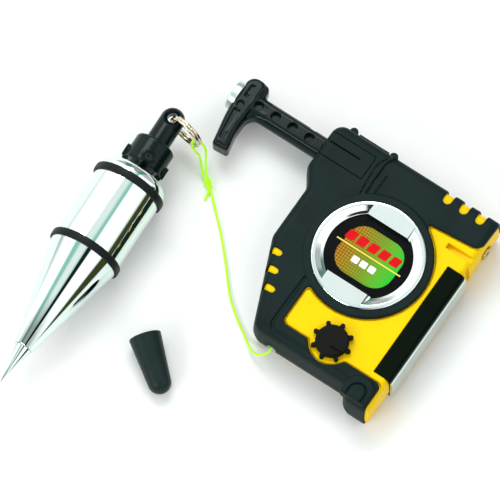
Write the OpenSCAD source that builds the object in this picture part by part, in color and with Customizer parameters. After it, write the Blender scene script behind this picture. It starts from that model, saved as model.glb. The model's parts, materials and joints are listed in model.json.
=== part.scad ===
// Plumb line setter: a spring-rewind line reel with a magnet base and a push-in needle,
// its free line, the plumb bob that hangs on it and the bob's tip cap, laid on a table.
// X runs along the plunger towards the base, Z out of the dial, origin under the drum axis.

/* [Case] */
// Overall thickness of the case, back face to grip face
case_t = 26; // [25:0.5:32]
// Height of the parting plane above the back face
split_z = 11; // [9:0.5:13]
// Distance from the drum axis to the base edge
base_x = 46; // [45:0.5:52]
// Distance from the drum axis to the plunger mouth
mouth_x = 52.5; // [50:0.5:56]
// Distance from the drum axis to the top edge
top_y = 52; // [51:0.5:56]
// Distance from the drum axis to the bottom edge
bottom_y = 61.7; // [60:0.1:66]
// How far the foot reaches below the bottom edge
foot_drop = 6.6; // [4:0.1:9]
// Wall of the yellow mouldings
wall = 2.2; // [1.6:0.1:2.8]
// Thickness of the dark elastomer skin
skin = 1.2; // [0.8:0.1:1.6]
// Radius of the case screws' shanks
screw_r = 1.4; // [1.2:0.05:1.6]

/* [Dial] */
// Outer radius of the chrome bezel
bezel_r = 28.4; // [27:0.1:29]
// Radius of the bezel's opening
bezel_in = 22; // [20:0.1:23]
// Distance from the centre to each chord bar
chord_y = 17.3; // [15:0.1:19]
// Width of the grip's raised rim round the bezel
rim_w = 4; // [2:0.1:4.6]
// Height of the bezel above the grip face
bezel_rise = 1.6; // [0.8:0.1:2.4]

/* [Drum] */
// Radius of the drum flanges
drum_r = 26; // [24:0.1:26.5]
// Radius of the wound line
wound_r = 14.7; // [12:0.1:16]
// Radius of the drum core under the line
core_r = 7; // [6.5:0.1:9]
// Height of the line above the back face
line_z = 10; // [9.5:0.1:10.5]
// Width of the winding groove
groove_w = 8; // [6:0.1:8.4]
// Thickness of each drum flange
flange_t = 1.4; // [1:0.1:1.6]
// Radius of the fixed axle
axle_r = 3; // [2.5:0.1:3.5]
// Turns of the flat rewind spring
spring_turns = 7; // [4:1:8]
// Thickness of the rewind spring's strip
spring_t = 0.5; // [0.3:0.05:0.7]

/* [Plunger] */
// Distance from the drum axis to the plunger axis
plunger_y = 37.6; // [36.9:0.1:37.8]
// Height of the plunger axis above the back face
plunger_z = 13; // [12:0.1:14]
// Radius of the plunger rod
rod_r = 6.1; // [5.4:0.1:6.2]
// Height of the rod's front flat above its axis
rod_flat = 5.1; // [4.4:0.1:5.3]
// Travel of the plunger
travel = 30; // [20:10:30]
// Pitch of the index holes along the rod
hole_pitch = 10; // [8:0.5:12]
// Radius of the index holes
hole_r = 2.4; // [1.8:0.1:2.8]
// Thickness of the T handle
handle_t = 12.4; // [11:0.1:14]
// Radius of the chrome striking cap
strike_r = 8; // [6.5:0.1:9]
// Radius of the needle
needle_r = 1; // [0.8:0.05:1.2]
// Length of the needle in front of the rod
needle_len = 34; // [26:1:35]
// Travel of the lock bar
press = 2; // [1.5:0.1:2.2]

/* [Brake] */
// Distance of the brake knob from the drum axis along X
knob_x = 10.1; // [8:0.1:13]
// Distance of the brake knob above the bottom edge
knob_up = 14.7; // [13.2:0.1:15.2]
// Radius of the knob between its lobes
knob_r = 8.4; // [7.4:0.1:9]
// Number of lobes on the knob
lobes = 8; // [5:1:10]
// Height of the knob above the yellow face
knob_h = 3.8; // [2.5:0.1:5]
// Travel of the brake shoe over the knob's turn
shoe_travel = 0.9; // [0.6:0.05:1]
// Turn of the knob in degrees
knob_turn = 120; // [90:5:150]

/* [Magnet base] */
// Length of the magnet along the base
magnet_len = 65.6; // [56:0.1:68]
// Middle of the magnet along the base
magnet_mid = -15.2; // [-17:0.1:-14]
// Depth of the magnet behind the pole plate
magnet_d = 9.7; // [8:0.1:10]
// Thickness of the steel pole plate
pole_t = 1.1; // [0.8:0.1:1.1]

/* [Plumb bob] */
// Radius of the bob's cylinder
bob_r = 18.1; // [16:0.1:19]
// Length of the screwed tip
tip_len = 21; // [16:0.5:26]
// Distance from the point to the cone's wide end
cone_len = 78.5; // [65:0.5:85]
// Length of the cylinder, cone end to shoulder
cyl_len = 43; // [38:0.5:55]
// Outer radius of the rubber bumper rings
bumper_r = 19.4; // [18.8:0.1:21]
// Width of the bumper rings
bumper_w = 4.1; // [3:0.1:5]
// Radius of the collar on the bob's head
collar_r = 10.5; // [10:0.1:11.5]
// Length of the collar
collar_len = 14.8; // [13:0.1:18]
// Radius of the neck
neck_r = 6.25; // [6:0.05:7]
// Length of the neck above the collar
neck_len = 21.3; // [18:0.1:26]
// Mean radius of the split ring
ring_r = 9; // [8:0.1:10]
// Radius of the split ring's wire
wire_r = 0.85; // [0.6:0.05:0.9]

/* [Tip cap] */
// Length of the tip cap
cap_len = 30.5; // [26:0.5:36]
// Outer radius at the cap's mouth
cap_mouth_r = 8.15; // [7.6:0.05:9]
// Outer radius at the cap's closed end
cap_end_r = 5.9; // [5.4:0.05:6.4]
// Wall of the cap
cap_wall = 1.6; // [1.2:0.1:2]

/* [Line] */
// Radius of the line
line_r = 0.6; // [0.4:0.05:0.65]

/* [Hidden] */
$fn = 64;

// Clearances: between moving pieces, in a turning fit, and between seated pieces
gap = 0.3;
run = 0.05;
seat = 0.05;
// A cut's overshoot past the face it opens, and how far a rib runs into its wall
over = 1;
merge = 0.2;
// Angle that one chord of a rounded corner covers, and the least corner radius
arc_step = 15;
least_r = 0.6;

// Colours
yellow = [1, 0.86, 0];
slate = [0.13, 0.17, 0.18];
black = [0.09, 0.1, 0.1];
chrome = [0.86, 0.9, 0.9];
steel = [0.62, 0.64, 0.66];
brass = [0.78, 0.62, 0.3];
white = [0.9, 0.9, 0.86];
lime = [0.8, 1, 0.15];

// Levels of the case
face_z = case_t - skin;
front_in = face_z - wall;
inset_in = skin + wall;
// The left side, the hump over the mouth and the foot
left_x = -46.3;
shoulder_y = 24;
diagonal_y = -16;
corner_x = -27.4;
foot_x = 30.5;

// Case outline at the parting plane, counter-clockwise: x, y and corner radius
outline = [
    [base_x, -bottom_y - foot_drop, 3],
    [base_x, top_y, 3.5],
    [-mouth_x, top_y, 7],
    [-mouth_x, shoulder_y, 4],
    [left_x, 14.3, 7],
    [left_x, diagonal_y, 7],
    [corner_x, -bottom_y, 6.5],
    [foot_x - 4, -bottom_y, 4],
    [foot_x, -bottom_y - foot_drop, 5]];
// Inset and height of the skin's outside, back edge to front face
rear_profile = [[2.4, 1.6], [1.5, 2.4], [0.9, 5], [0, split_z]];
front_profile = [[0, split_z], [0.5, case_t - 6], [1, case_t - 3.4], [2, case_t - 1.6], [3.4, case_t - 0.5],
    [5.2, case_t]];
// The same for the yellow mouldings, which lie one skin deeper
shell_front = [[skin, split_z], [skin + 0.5, face_z - 5], [skin + 1, face_z - 2.6], [skin + 2, face_z - 1],
    [skin + 3.4, face_z]];
shell_rear = [[skin + 3.2, 0], [skin + 2.2, 0.8], [skin + 0.9, 5], [skin, split_z]];

// Yellow windows in the front skin: the lower field with the base strip
window = [
    [-16.3, -52, 3.5],
    [base_x - 3.5, -52, 3],
    [base_x - 3.5, -bottom_y - 2 * foot_drop, 0.2],
    [base_x + 9, -bottom_y - 2 * foot_drop, 0.2],
    [base_x + 9, top_y + 9, 0.2],
    [base_x - 1.6, top_y + 9, 0.2],
    [base_x - 2.4, 33, 5],
    [15.5, 30.6, 1.5],
    [15.5, 0, 1],
    [-16.3, -22, 1]];
rim_r = bezel_r + seat + rim_w;
knob_at = [knob_x, knob_up - bottom_y];
field_r = knob_r + 3.3;
notch_w = 4.6;
notch_xs = [15.9, 25.4, 34.9];
notch_y = 43.9;
slots = [[-38.8, -23], [-35.1, -31.8], [-31.1, -40.7]];
// Strap from the rim to the top edge, and the arched pad on the foot
strap = [[-22.3, 40.2, 12], [-21.4, 24.3, 0.6], [-19.1, 25.9, 0.6], [-19.4, 42.1, 12],
    [-17, top_y - 5.4, 0.6], [-20.6, top_y - 5.4, 0.6]];
strap_rise = 0.5;
foot_pad = [[foot_x + 1, -bottom_y + 1.5, 1], [foot_x + 9, -bottom_y + 1.5, 1],
    [foot_x + 8.6, -bottom_y + 6.4, 2], [foot_x + 3, -bottom_y + 6, 2.5]];
pad_rise = 0.7;
slot_len = 6.1;
slot_w = 3.5;

// Drum levels, from the back wall to the spring cover
washer_t = 1;
drum_z = wall + washer_t + gap;
groove_z = line_z - groove_w / 2;
cup_z = groove_z + groove_w + flange_t;
cup_top = front_in - 1.2;
cover_t = 0.7;
cup_wall = 1.6;
hub_r = axle_r + 2.5;
arbor_r = axle_r + 1.8;
room_r = drum_r + 1.5;
room_wall = 1.4;
spring_h = cup_top - cup_z - 2 * gap;
exit_x = -wound_r - gap - line_r;
eyelet_r = 2.6;
eyelet_in = line_r + 0.4;
exit_y = -bottom_y - 0.5;

// Plunger places along X
rod_back = -94;
rod_end = base_x - 8 - travel;
boss_x = -102.9;
strike_t = 2.3;
core_rod_r = 2;
chuck_len = 12;
chuck_r = 3.2;
first_hole = -90;
hole_count = 9;
hole_depth = rod_flat - core_rod_r - 0.3;
bush_r = needle_r + gap;

// T handle outline around the rod, counter-clockwise
handle = [
    [-91.6, 49.6, 4.2],
    [-102.2, 49.6, 5],
    [-102.8, 30, 60],
    [-98.6, 8.6, 1.6],
    [-89.6, 9.2, 1.6],
    [-92.2, 21, 20]];
// The two fillets that run from the handle into the rod
web_x = -97;
web_t = 8.6;
web_lo = [
    [web_x, 17, 0.6],
    [-92, 17, 0.6],
    [-91.6, plunger_y - rod_r + 1.2, 6.5],
    [-84, plunger_y - rod_r + 1.2, 0.6],
    [-84, plunger_y - 1, 0.6],
    [web_x, plunger_y - 1, 0.6]];
web_hi = [
    [web_x, plunger_y + 1, 0.6],
    [-85.5, plunger_y + 1, 0.6],
    [-85.5, plunger_y + rod_r - 1.2, 0.6],
    [-90, plunger_y + rod_r - 1.2, 3],
    [-90.6, 49.2, 3.2],
    [web_x, 49.2, 0.6]];
handle_lo = plunger_z - handle_t / 2;
handle_hi = plunger_z + handle_t / 2;
handle_profile = [[3, handle_lo], [1.2, handle_lo + 0.6], [0.3, handle_lo + 1.8], [0, handle_lo + 3.4],
    [0, handle_hi - 3], [0.3, handle_hi - 1.4], [1.1, handle_hi - 0.4], [2.2, handle_hi]];
pocket_d = 1.6;

// Lock bar in the top edge
bar_x0 = -40.2;
bar_x1 = -22.8;
bar_z0 = 8;
bar_z1 = 18;
bar_top = top_y + 1.2;
bar_flange = 1.6;
bar_seat = top_y - inset_in - gap;
bar_under = bar_seat - 2.2;
flange_z0 = wall + 1;
flange_z1 = bar_z1 + 2;
tooth_x = (bar_x0 + bar_x1) / 2;
tooth_w = 3;
pawl_h = 6;
tooth_tip = plunger_y + rod_r + gap;
lug_r = 2.2;
lug_xs = [-43.4, -19.8];
shelf_top = bar_under - 4.8;
coil_r = 1.5;
coil_wire = 0.3;
coil_turns = 4;

// Brake: local X runs from the knob to the drum axis
knob_dist = norm(knob_at);
knob_dir = atan2(-knob_at[1], -knob_at[0]);
shaft_r = 3;
bearing_h = 3;
post_r = shaft_r - 0.6;
knob_roof = 1.4;
cam_r = 5.6;
cam_lift = shoe_travel / (knob_turn * PI / 180);
cam_z0 = cup_z + 0.4;
cam_z1 = front_in - 1;
shoe_w = 6;
pad_t = 3;
pad_w = 12;
guide_t = 1.5;
guide_y = shoe_w / 2 + gap + guide_t / 2;
shoe_tip = cam_r + gap;
pad_face = drum_r + gap + shoe_travel;
pad_x1 = knob_dist - pad_face;

// Magnet
magnet_y0 = magnet_mid - magnet_len / 2;
magnet_y1 = magnet_mid + magnet_len / 2;
magnet_x1 = base_x - pole_t;
magnet_x0 = magnet_x1 - magnet_d;
magnet_z0 = wall + 1.6;
magnet_z1 = face_z + 0.4;

// Screws: x and y, driven from the back
boss_r = 3.2;
edge_boss = inset_in + boss_r - 0.2;
screws = [
    [left_x + edge_boss, 2],
    [-26.6, -46.9],
    [26, -bottom_y + edge_boss + 1.3],
    [12, top_y - edge_boss],
    [base_x - edge_boss, top_y - edge_boss]];
screw_top = split_z + 8;
head_r = 2.9;
head_t = 1.5;
head_sink = 0.3;

// Plumb bob: heights along its axis from the point
bob_hole = [-121, 7.5, bumper_r];
bob_yaw = 2.5;
shoulder_a = cone_len + cyl_len;
head_a = shoulder_a + 9;
head_face_r = collar_r + 0.7;
collar_a = head_a + collar_len;
neck_a = collar_a + gap;
neck_end = collar_a + neck_len;
eye_a = neck_end - neck_r;
hole_a = eye_a + 0.4;
eye_r = 2.6;
stem_r = 4;
stem_flange_r = 6;
spigot_r = 8;
spigot_len = 8;
pocket_r = stem_flange_r + gap;
pocket_top = head_a + 3.5;
well_r = 13;
well_a0 = cone_len - 4;
well_a1 = head_a - spigot_len - 0.4;
damper_len = 14;
bumper_groove = 0.8;
bumper_a = [cone_len + 0.2, shoulder_a - 2.6];
tip_r = 4.6;
point_r = 0.15;
stud_r = 2.5;
stud_len = 8;
plug_a = head_a + 4.2;
plug_r = 2;
plug_turns = [11, 101, 191, 281];

// Split ring, in an upright plane beside the neck
ring_yaw = -10;
ring_at = bob_hole + ring_r * [cos(ring_yaw), sin(ring_yaw), 0];
ring_w = 1.9 * wire_r;

// Tip cap on its side
cap_at = [-71.2, -90.6];
cap_yaw = -38.7;
cap_run = cap_len - cap_end_r;
cap_tilt = asin((cap_mouth_r - cap_end_r) / cap_run);

// Knot and free line. The knot's axis points up the line, towards the ring
knot_at = [-91, -5.5, 1.8];
knot_yaw = 143;
knot_half = 2.2;
knot_r = 1.7;
knot_dir = [cos(knot_yaw), sin(knot_yaw), 0];
route = [
    [exit_x, exit_y - 0.1, line_z],
    [exit_x, exit_y - 1.6, line_z],
    [-17, -66, 9.2],
    [-20, -67.2, 7],
    [-24, -66.4, 4],
    [-28.5, -63.6, 1.6],
    [-33.5, -60, 0.7],
    [-41, -55, 0.7],
    [-50, -47.5, 0.7],
    [-60, -36, 0.7],
    [-71, -24, 0.7],
    [-80, -15.4, 0.8],
    [-85.5, -10.2, 1.3],
    knot_at - (knot_half + 1.4) * knot_dir,
    knot_at - (knot_half + gap) * knot_dir];
// The loop through the ring, in the ring's own directions: outward, sideways, upward
ring_out = [cos(ring_yaw), sin(ring_yaw), 0];
ring_side = [-sin(ring_yaw), cos(ring_yaw), 0];
loop_low = -5;
loop_in = ring_at + 5.4 * ring_out + [0, 0, loop_low + 1];
loop_mid = ring_at + 8.4 * ring_out + [0, 0, loop_low - 1.2];
loop_out = ring_at + 11.4 * ring_out + [0, 0, loop_low - 4.6];
loop_half = 2.6;
knot_side = [-knot_dir[1], knot_dir[0], 0];
knot_face = knot_at + (knot_half + 0.3) * knot_dir;
strand = 0.8;
loop_rise = knot_face + 3.5 * knot_dir + [0, 0, 0.6];
loop_way = (loop_rise + loop_out) / 2 - [0, 0, 0.8];
loop_route = [
    knot_face + strand * knot_side,
    loop_rise + strand * knot_side,
    loop_way - 1.5 * ring_side,
    loop_out - 2.2 * ring_side,
    loop_mid - loop_half * ring_side,
    loop_in - 1.5 * ring_side,
    loop_in + 1.5 * ring_side,
    loop_mid + loop_half * ring_side,
    loop_out + 2.2 * ring_side,
    loop_way + 1.5 * ring_side,
    loop_rise - strand * knot_side,
    knot_face - strand * knot_side];
loop_up = cross(ring_side, loop_out - loop_in);

// Rounded outline: the points of one corner, moved inwards by inset
function xy(p) = [p[0], p[1]];
function unit(v) = v / norm(v);
function left_of(u) = [-u[1], u[0]];
function turned(v, a) = [v[0] * cos(a) - v[1] * sin(a), v[0] * sin(a) + v[1] * cos(a)];
function corner(before, here, after, inset) =
    let (u = unit(xy(here) - xy(before)), w = unit(xy(after) - xy(here)))
    let (nu = left_of(u), nw = left_of(w), turn = atan2(cross(u, w), u * w), side = sign(turn))
    let (r = max(here[2] - side * inset, least_r), steps = max(1, ceil(abs(turn) / arc_step)))
    let (c = xy(here) + (inset + side * r) * (nu + nw) / (1 + nu * nw))
    [for (i = [0 : steps]) c - side * r * turned(nu, turn * i / steps)];
function ring(corners, inset) =
    let (n = len(corners))
    [for (i = [0 : n - 1]) each corner(corners[(i + n - 1) % n], corners[i], corners[(i + 1) % n], inset)];

// Triangles that fill a counter-clockwise outline p, cutting one ear off the corners in left at a time
function doubled(a, b, c) = cross(b - a, c - a);
function inside(p, a, b, c) = doubled(a, b, p) >= 0 && doubled(b, c, p) >= 0 && doubled(c, a, p) >= 0;
function ear(left, i) = let (n = len(left)) [left[(i + n - 1) % n], left[i], left[(i + 1) % n]];
function is_ear(p, e) =
    let (a = p[e[0]], b = p[e[1]], c = p[e[2]])
    doubled(a, b, c) > 0 && len([for (q = p) if (q != a && q != b && q != c && inside(q, a, b, c)) q]) == 0;
function first_ear(p, left, i = 0) = is_ear(p, ear(left, i)) ? i : first_ear(p, left, i + 1);
function filled(p, left) =
    len(left) == 3 ? [left] :
    let (i = first_ear(p, left))
    concat([ear(left, i)], filled(p, [for (k = [0 : len(left) - 1]) if (k != i) left[k]]));

// Solid whose sides follow a rounded outline, set in by the profile's inset at each height
module loft(corners, profile) {
    rings = [for (p = profile) ring(corners, p[0])];
    n = len(rings[0]);
    m = len(profile);
    points = [for (k = [0 : m - 1]) for (q = rings[k]) [q[0], q[1], profile[k][1]]];
    sides = [for (k = [0 : m - 2]) for (i = [0 : n - 1])
        let (a = k * n + i, b = k * n + (i + 1) % n)
        each [[a, a + n, b + n], [a, b + n, b]]];
    corner_ids = [for (i = [0 : n - 1]) i];
    bottom = filled(rings[0], corner_ids);
    top = [for (t = filled(rings[m - 1], corner_ids)) [for (i = [2, 1, 0]) t[i] + (m - 1) * n]];
    polyhedron(points, concat(bottom, top, sides));
}

// Smooth curve through points, with a number of steps in each span
function spline_at(a, b, c, d, t) =
    (2 * b + (c - a) * t + (2 * a - 5 * b + 4 * c - d) * t * t + (3 * b - a - 3 * c + d) * t * t * t) / 2;
function spline(p, steps) =
    let (n = len(p))
    concat([for (i = [0 : n - 2]) for (s = [0 : steps - 1])
        spline_at(p[max(i - 1, 0)], p[i], p[i + 1], p[min(i + 2, n - 1)], s / steps)], [p[n - 1]]);

// Round tube along a path, as one closed solid; up is a direction the path never takes
module tube(path, r, sides, up) {
    n = len(path);
    frames = [for (i = [0 : n - 1])
        let (t = unit(path[min(i + 1, n - 1)] - path[max(i - 1, 0)]), a = unit(cross(t, up)))
        [a, cross(a, t)]];
    points = [for (i = [0 : n - 1]) for (j = [0 : sides - 1])
        path[i] + r * (cos(360 * j / sides) * frames[i][0] + sin(360 * j / sides) * frames[i][1])];
    walls = [for (i = [0 : n - 2]) for (j = [0 : sides - 1])
        let (a = i * sides + j, b = i * sides + (j + 1) % sides)
        each [[a, b, b + sides], [a, b + sides, a + sides]]];
    start = [for (j = [sides - 1 : -1 : 0]) j];
    end = [for (j = [0 : sides - 1]) (n - 1) * sides + j];
    polyhedron(points, concat([start, end], walls));
}

// Box between two corners
module box(a, b) {
    translate(a) cube(b - a);
}

// Cylinder along X from x0 to x1
module x_rod(x0, x1, r, y, z) {
    translate([x0, y, z]) rotate([0, 90, 0]) cylinder(h = x1 - x0, r = r);
}

// Cylinder along Y from y0 to y1
module y_rod(y0, y1, r, x, z) {
    translate([x, y0, z]) rotate([-90, 0, 0]) cylinder(h = y1 - y0, r = r);
}

// What skins and shells leave open at the edge: line exit, plunger mouth and lock bar
module edge_cuts() {
    y_rod(exit_y - over, -room_r, eyelet_r + seat, exit_x, line_z);
    x_rod(-mouth_x - over, -mouth_x + 12, rod_r + gap, plunger_y, plunger_z);
    box([bar_x0 - gap, bar_seat - over, bar_z0 - gap], [bar_x1 + gap, top_y + 3, bar_z1 + gap]);
}

// What both shells leave open: the edge cuts, needle bush, magnet and the lock bar's flange
module case_cuts() {
    edge_cuts();
    x_rod(base_x - inset_in - over, base_x + over, bush_r + 1.7 + seat, plunger_y, plunger_z);
    box([magnet_x0 - seat, magnet_y0 - seat, magnet_z0 - seat],
        [base_x + over, magnet_y1 + seat, case_t + over]);
    box([bar_x0 - bar_flange - gap, bar_under - press - gap, flange_z0 - gap],
        [bar_x1 + bar_flange + gap, bar_seat + gap, flange_z1 + gap]);
}

// Ring wall, plunger guides and screw bosses between two levels inside the case
module inner_walls(z0, z1) {
    difference() {
        union() {
            translate([0, 0, z0]) cylinder(h = z1 - z0, r = room_r + room_wall);
            for (x = [-16, rod_end - 8])
                box([x, plunger_y - rod_r - 2, z0], [x + 2, top_y - inset_in + merge, z1]);
            box([magnet_x0 - 2, magnet_y0 - 2, z0], [magnet_x0 + 1, magnet_y1 + 2, z1]);
            for (s = screws) translate([s[0], s[1], z0]) cylinder(h = z1 - z0, r = boss_r);
        }
        translate([0, 0, z0 - over]) cylinder(h = z1 - z0 + 2 * over, r = room_r);
        x_rod(-mouth_x, base_x - inset_in, rod_r + gap, plunger_y, plunger_z);
        box([exit_x - 2, -room_r - 3, line_z - 2], [exit_x + 2, 0, line_z + 2]);
    }
}

// Slider path and pad room of the brake, cut through the ring wall
module brake_room(clear) {
    translate(knob_at) rotate(knob_dir) {
        box([0, -shoe_w / 2 - clear, cam_z0 - clear], [pad_x1 + 3, shoe_w / 2 + clear, cam_z1 + clear]);
        box([pad_x1 - pad_t - clear, -pad_w / 2 - clear, cam_z0 - clear],
            [pad_x1 + 4, pad_w / 2 + clear, cam_z1 + clear]);
    }
}

module front_shell() {
    color(yellow) difference() {
        union() {
            difference() {
                loft(outline, shell_front);
                translate([0, 0, split_z - over]) linear_extrude(front_in - split_z + over)
                    polygon(ring(outline, inset_in));
            }
            inner_walls(split_z, front_in + merge);
            translate([0, 0, cup_top + cover_t + gap]) cylinder(h = front_in - cup_top, r = axle_r + 2);
            translate(concat(knob_at, front_in - bearing_h)) cylinder(h = bearing_h + merge, r = shaft_r + 2);
            for (s = [-1, 1]) translate(knob_at) rotate(knob_dir) translate([0, s * guide_y, 0])
                box([cam_r + 3, -guide_t / 2, cam_z0],
                    [pad_x1 - pad_t - shoe_travel - gap, guide_t / 2, front_in + merge]);
        }
        case_cuts();
        brake_room(gap);
        translate([0, 0, face_z - 1.4]) cylinder(h = 9, r = bezel_r + seat);
        translate([0, 0, split_z]) cylinder(h = front_in + 0.6 - split_z, r = axle_r + seat);
        translate(concat(knob_at, split_z)) cylinder(h = case_t, r = shaft_r + run);
        for (s = screws) translate([s[0], s[1], split_z - over])
            cylinder(h = screw_top - split_z + over + gap, r = screw_r + seat);
        cover_seat(seat);
        // Narrow groove beside the nose, open at the base, and the notch under it
        box([base_x - 17.4, 25.5, face_z - 1.6], [base_x + over, 27.9, case_t]);
        box([base_x - skin - 1.8, 19.9, split_z - over], [base_x + over, 22.6, case_t]);
    }
}

module rear_shell() {
    color(yellow) difference() {
        union() {
            difference() {
                loft(outline, shell_rear);
                loft(outline, [[inset_in + 1.6, wall], [inset_in, split_z + over]]);
            }
            inner_walls(wall - merge, split_z);
            translate([0, 0, wall - merge]) cylinder(h = merge + run, r = hub_r);
            box([bar_x0 - 1.8, shelf_top - 1.6, wall - merge],
                [bar_x1 + 1.8, shelf_top, plunger_z - rod_r - gap]);
        }
        case_cuts();
        translate([0, 0, 1]) cylinder(h = split_z, r = axle_r + seat);
        for (s = screws) translate([s[0], s[1], -over]) {
            cylinder(h = split_z + 2 * over, r = screw_r + seat);
            cylinder(h = over + head_t + head_sink, r = head_r + seat);
        }
    }
}

// Dark part of the front skin, seen from the front
module front_window() {
    difference() {
        polygon(ring(window, 0));
        circle(r = rim_r);
    }
    translate(knob_at) circle(r = field_r);
    for (x = notch_xs) {
        translate([x, notch_y + notch_w / 2]) circle(d = notch_w);
        translate([x - notch_w / 2, notch_y + notch_w / 2]) square([notch_w, top_y]);
    }
    for (p = slots) translate(p) {
        translate([(slot_len - slot_w) / 2, 0]) circle(d = slot_w);
        translate([-slot_len / 2, -slot_w / 2]) square([slot_len - slot_w / 2, slot_w]);
    }
}

// Place of the channel cover in the front skin, larger by clear on every side
cover_x0 = -mouth_x + 2;
cover_x1 = -25.5;
cover_y0 = 31.6;
cover_y1 = 44.9;
cover_sink = 1.2;
module cover_seat(clear) {
    box([cover_x0 - clear, cover_y0 - clear, face_z - cover_sink - clear],
        [cover_x1 + clear, cover_y1 + clear, case_t + over]);
}

module front_grip() {
    color(slate) difference() {
        union() {
            difference() {
                union() {
                    loft(outline, front_profile);
                    // Lugs beside the lock bar
                    for (x = lug_xs) translate([x, top_y + 0.4, split_z])
                        cylinder(h = case_t - split_z - 7, r = lug_r);
                }
                loft(outline, concat([[skin, split_z - over]], shell_front));
                translate([0, 0, split_z - over]) linear_extrude(case_t) front_window();
            }
            // Raised rim round the bezel
            rotate_extrude() polygon([[bezel_r + seat, face_z], [rim_r, face_z], [rim_r, case_t],
                [rim_r - 0.9, case_t + 0.8], [bezel_r + 1.2, case_t + 0.8], [bezel_r + seat, case_t + 0.2]]);
            // Strap from the rim to the top edge
            translate([0, 0, face_z]) linear_extrude(skin + strap_rise) polygon(ring(strap, 0));
            // Arched pad on the foot
            translate([0, 0, face_z]) linear_extrude(skin + pad_rise) polygon(ring(foot_pad, 0));
        }
        edge_cuts();
        cover_seat(gap);
        translate([0, 0, face_z - over]) cylinder(h = 9, r = bezel_r + seat);
        translate([-15.4, 28.5, case_t - 0.5]) cube([0.7, 11, over + 1]);
    }
}

module rear_grip() {
    color(slate) difference() {
        difference() {
            loft(outline, rear_profile);
            loft(outline, concat(shell_rear, [[skin, split_z + over]]));
        }
        edge_cuts();
        box([base_x - 3.5, -bottom_y - 2 * foot_drop, 0], [base_x + over, top_y + over, split_z + over]);
    }
}

module bezel_ring() {
    lo = face_z - 1.4;
    hi = case_t + bezel_rise;
    color(chrome) {
        rotate_extrude() polygon([[bezel_in, lo], [bezel_r, lo], [bezel_r, hi - 1], [bezel_r - 0.8, hi - 0.3],
            [bezel_r - 2.6, hi], [bezel_in + 1.4, hi - 1.5], [bezel_in, hi - 2.2]]);
        for (s = [0, 180]) rotate(s) intersection() {
            translate([0, 0, lo]) cylinder(h = hi - 1.8 - lo, r = bezel_in + 0.4);
            box([-bezel_in, chord_y, lo], [bezel_in, bezel_in + 1, hi]);
        }
    }
}

module label_plate() {
    color(black) intersection() {
        translate([0, 0, face_z - 1.4]) cylinder(h = 1.2, r = bezel_in - seat);
        box([-bezel_in, -chord_y + seat, 0], [bezel_in, chord_y - seat, case_t]);
    }
}

// Flush panel over the plunger, with the slot that frees the detent tongue
module channel_cover() {
    color(slate) difference() {
        intersection() {
            box([cover_x0, cover_y0, face_z - cover_sink], [cover_x1, cover_y1, case_t]);
            loft(outline, front_profile);
        }
        box([cover_x0 - over, 39.2, face_z - 2], [cover_x1 - 6, 40, case_t + over]);
    }
}

module case_screws() {
    color(steel) for (s = screws) translate([s[0], s[1], head_sink]) difference() {
        union() {
            cylinder(h = head_t, r = head_r);
            cylinder(h = screw_top - head_sink, r = screw_r);
        }
        for (a = [0, 90]) rotate(a) translate([0, 0, 0.3]) cube([3.4, 0.8, 1.4], center = true);
    }
}

module magnet_block() {
    chamfer = 1.6;
    color(black) translate([0, magnet_y1, 0]) rotate([90, 0, 0]) linear_extrude(magnet_len)
        polygon([[magnet_x0, magnet_z0], [magnet_x1, magnet_z0], [magnet_x1, magnet_z1 - chamfer],
            [magnet_x1 - chamfer, magnet_z1], [magnet_x0, magnet_z1]]);
}

module pole_plate() {
    color(chrome) box([magnet_x1, magnet_y0, magnet_z0 + 0.6], [base_x, magnet_y1, face_z - 3.2]);
}

module needle_bush() {
    color(steel) difference() {
        union() {
            x_rod(base_x - inset_in - 1.6, base_x - skin, bush_r + 1.7, plunger_y, plunger_z);
            x_rod(base_x - skin, base_x - skin + 0.7, bush_r + 2.6, plunger_y, plunger_z);
        }
        x_rod(base_x - 9, base_x + over, bush_r, plunger_y, plunger_z);
    }
}

module drum_axle() {
    color(steel) translate([0, 0, 1]) cylinder(h = front_in - 0.5, r = axle_r);
}

module thrust_washer() {
    color(white) translate([0, 0, wall + run]) difference() {
        cylinder(h = washer_t, r = hub_r);
        translate([0, 0, -over]) cylinder(h = washer_t + 2 * over, r = axle_r + run);
    }
}

module spring_arbor() {
    color(brass) translate([0, 0, cup_z + gap]) difference() {
        cylinder(h = spring_h, r = arbor_r);
        translate([0, 0, -over]) cylinder(h = spring_h + 2 * over, r = axle_r + seat);
    }
}

// Flat spiral strip from the arbor to the cup wall
spring_r0 = arbor_r + spring_t / 2 + seat;
spring_r1 = drum_r - cup_wall - gap - spring_t / 2;
spiral_steps = 18;
function spiral(side) = [for (i = [0 : spring_turns * spiral_steps])
    let (k = i / (spring_turns * spiral_steps), a = 360 * i / spiral_steps)
    (spring_r0 + (spring_r1 - spring_r0) * k + side * spring_t / 2) * [cos(a), sin(a)]];
module rewind_spring() {
    inner = spiral(-1);
    outer = spiral(1);
    color(steel) translate([0, 0, cup_z + gap]) linear_extrude(spring_h)
        polygon(concat(outer, [for (i = [len(inner) - 1 : -1 : 0]) inner[i]]));
}

module line_eyelet() {
    color(steel) translate([exit_x, -bottom_y + 4, line_z]) rotate([90, 0, 0]) rotate_extrude()
        polygon([[eyelet_in + 0.6, 0], [eyelet_r, 0], [eyelet_r, 4.3], [eyelet_in + 1, 4.5],
            [eyelet_in + 0.4, 4.3], [eyelet_in, 3.4], [eyelet_in, 1]]);
}

module line_lead() {
    color(lime) y_rod(exit_y, 0, line_r, exit_x, line_z);
}

module line_run() {
    color(lime) tube(spline(route, 3), line_r, 8, [0, 0, 1]);
}

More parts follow.
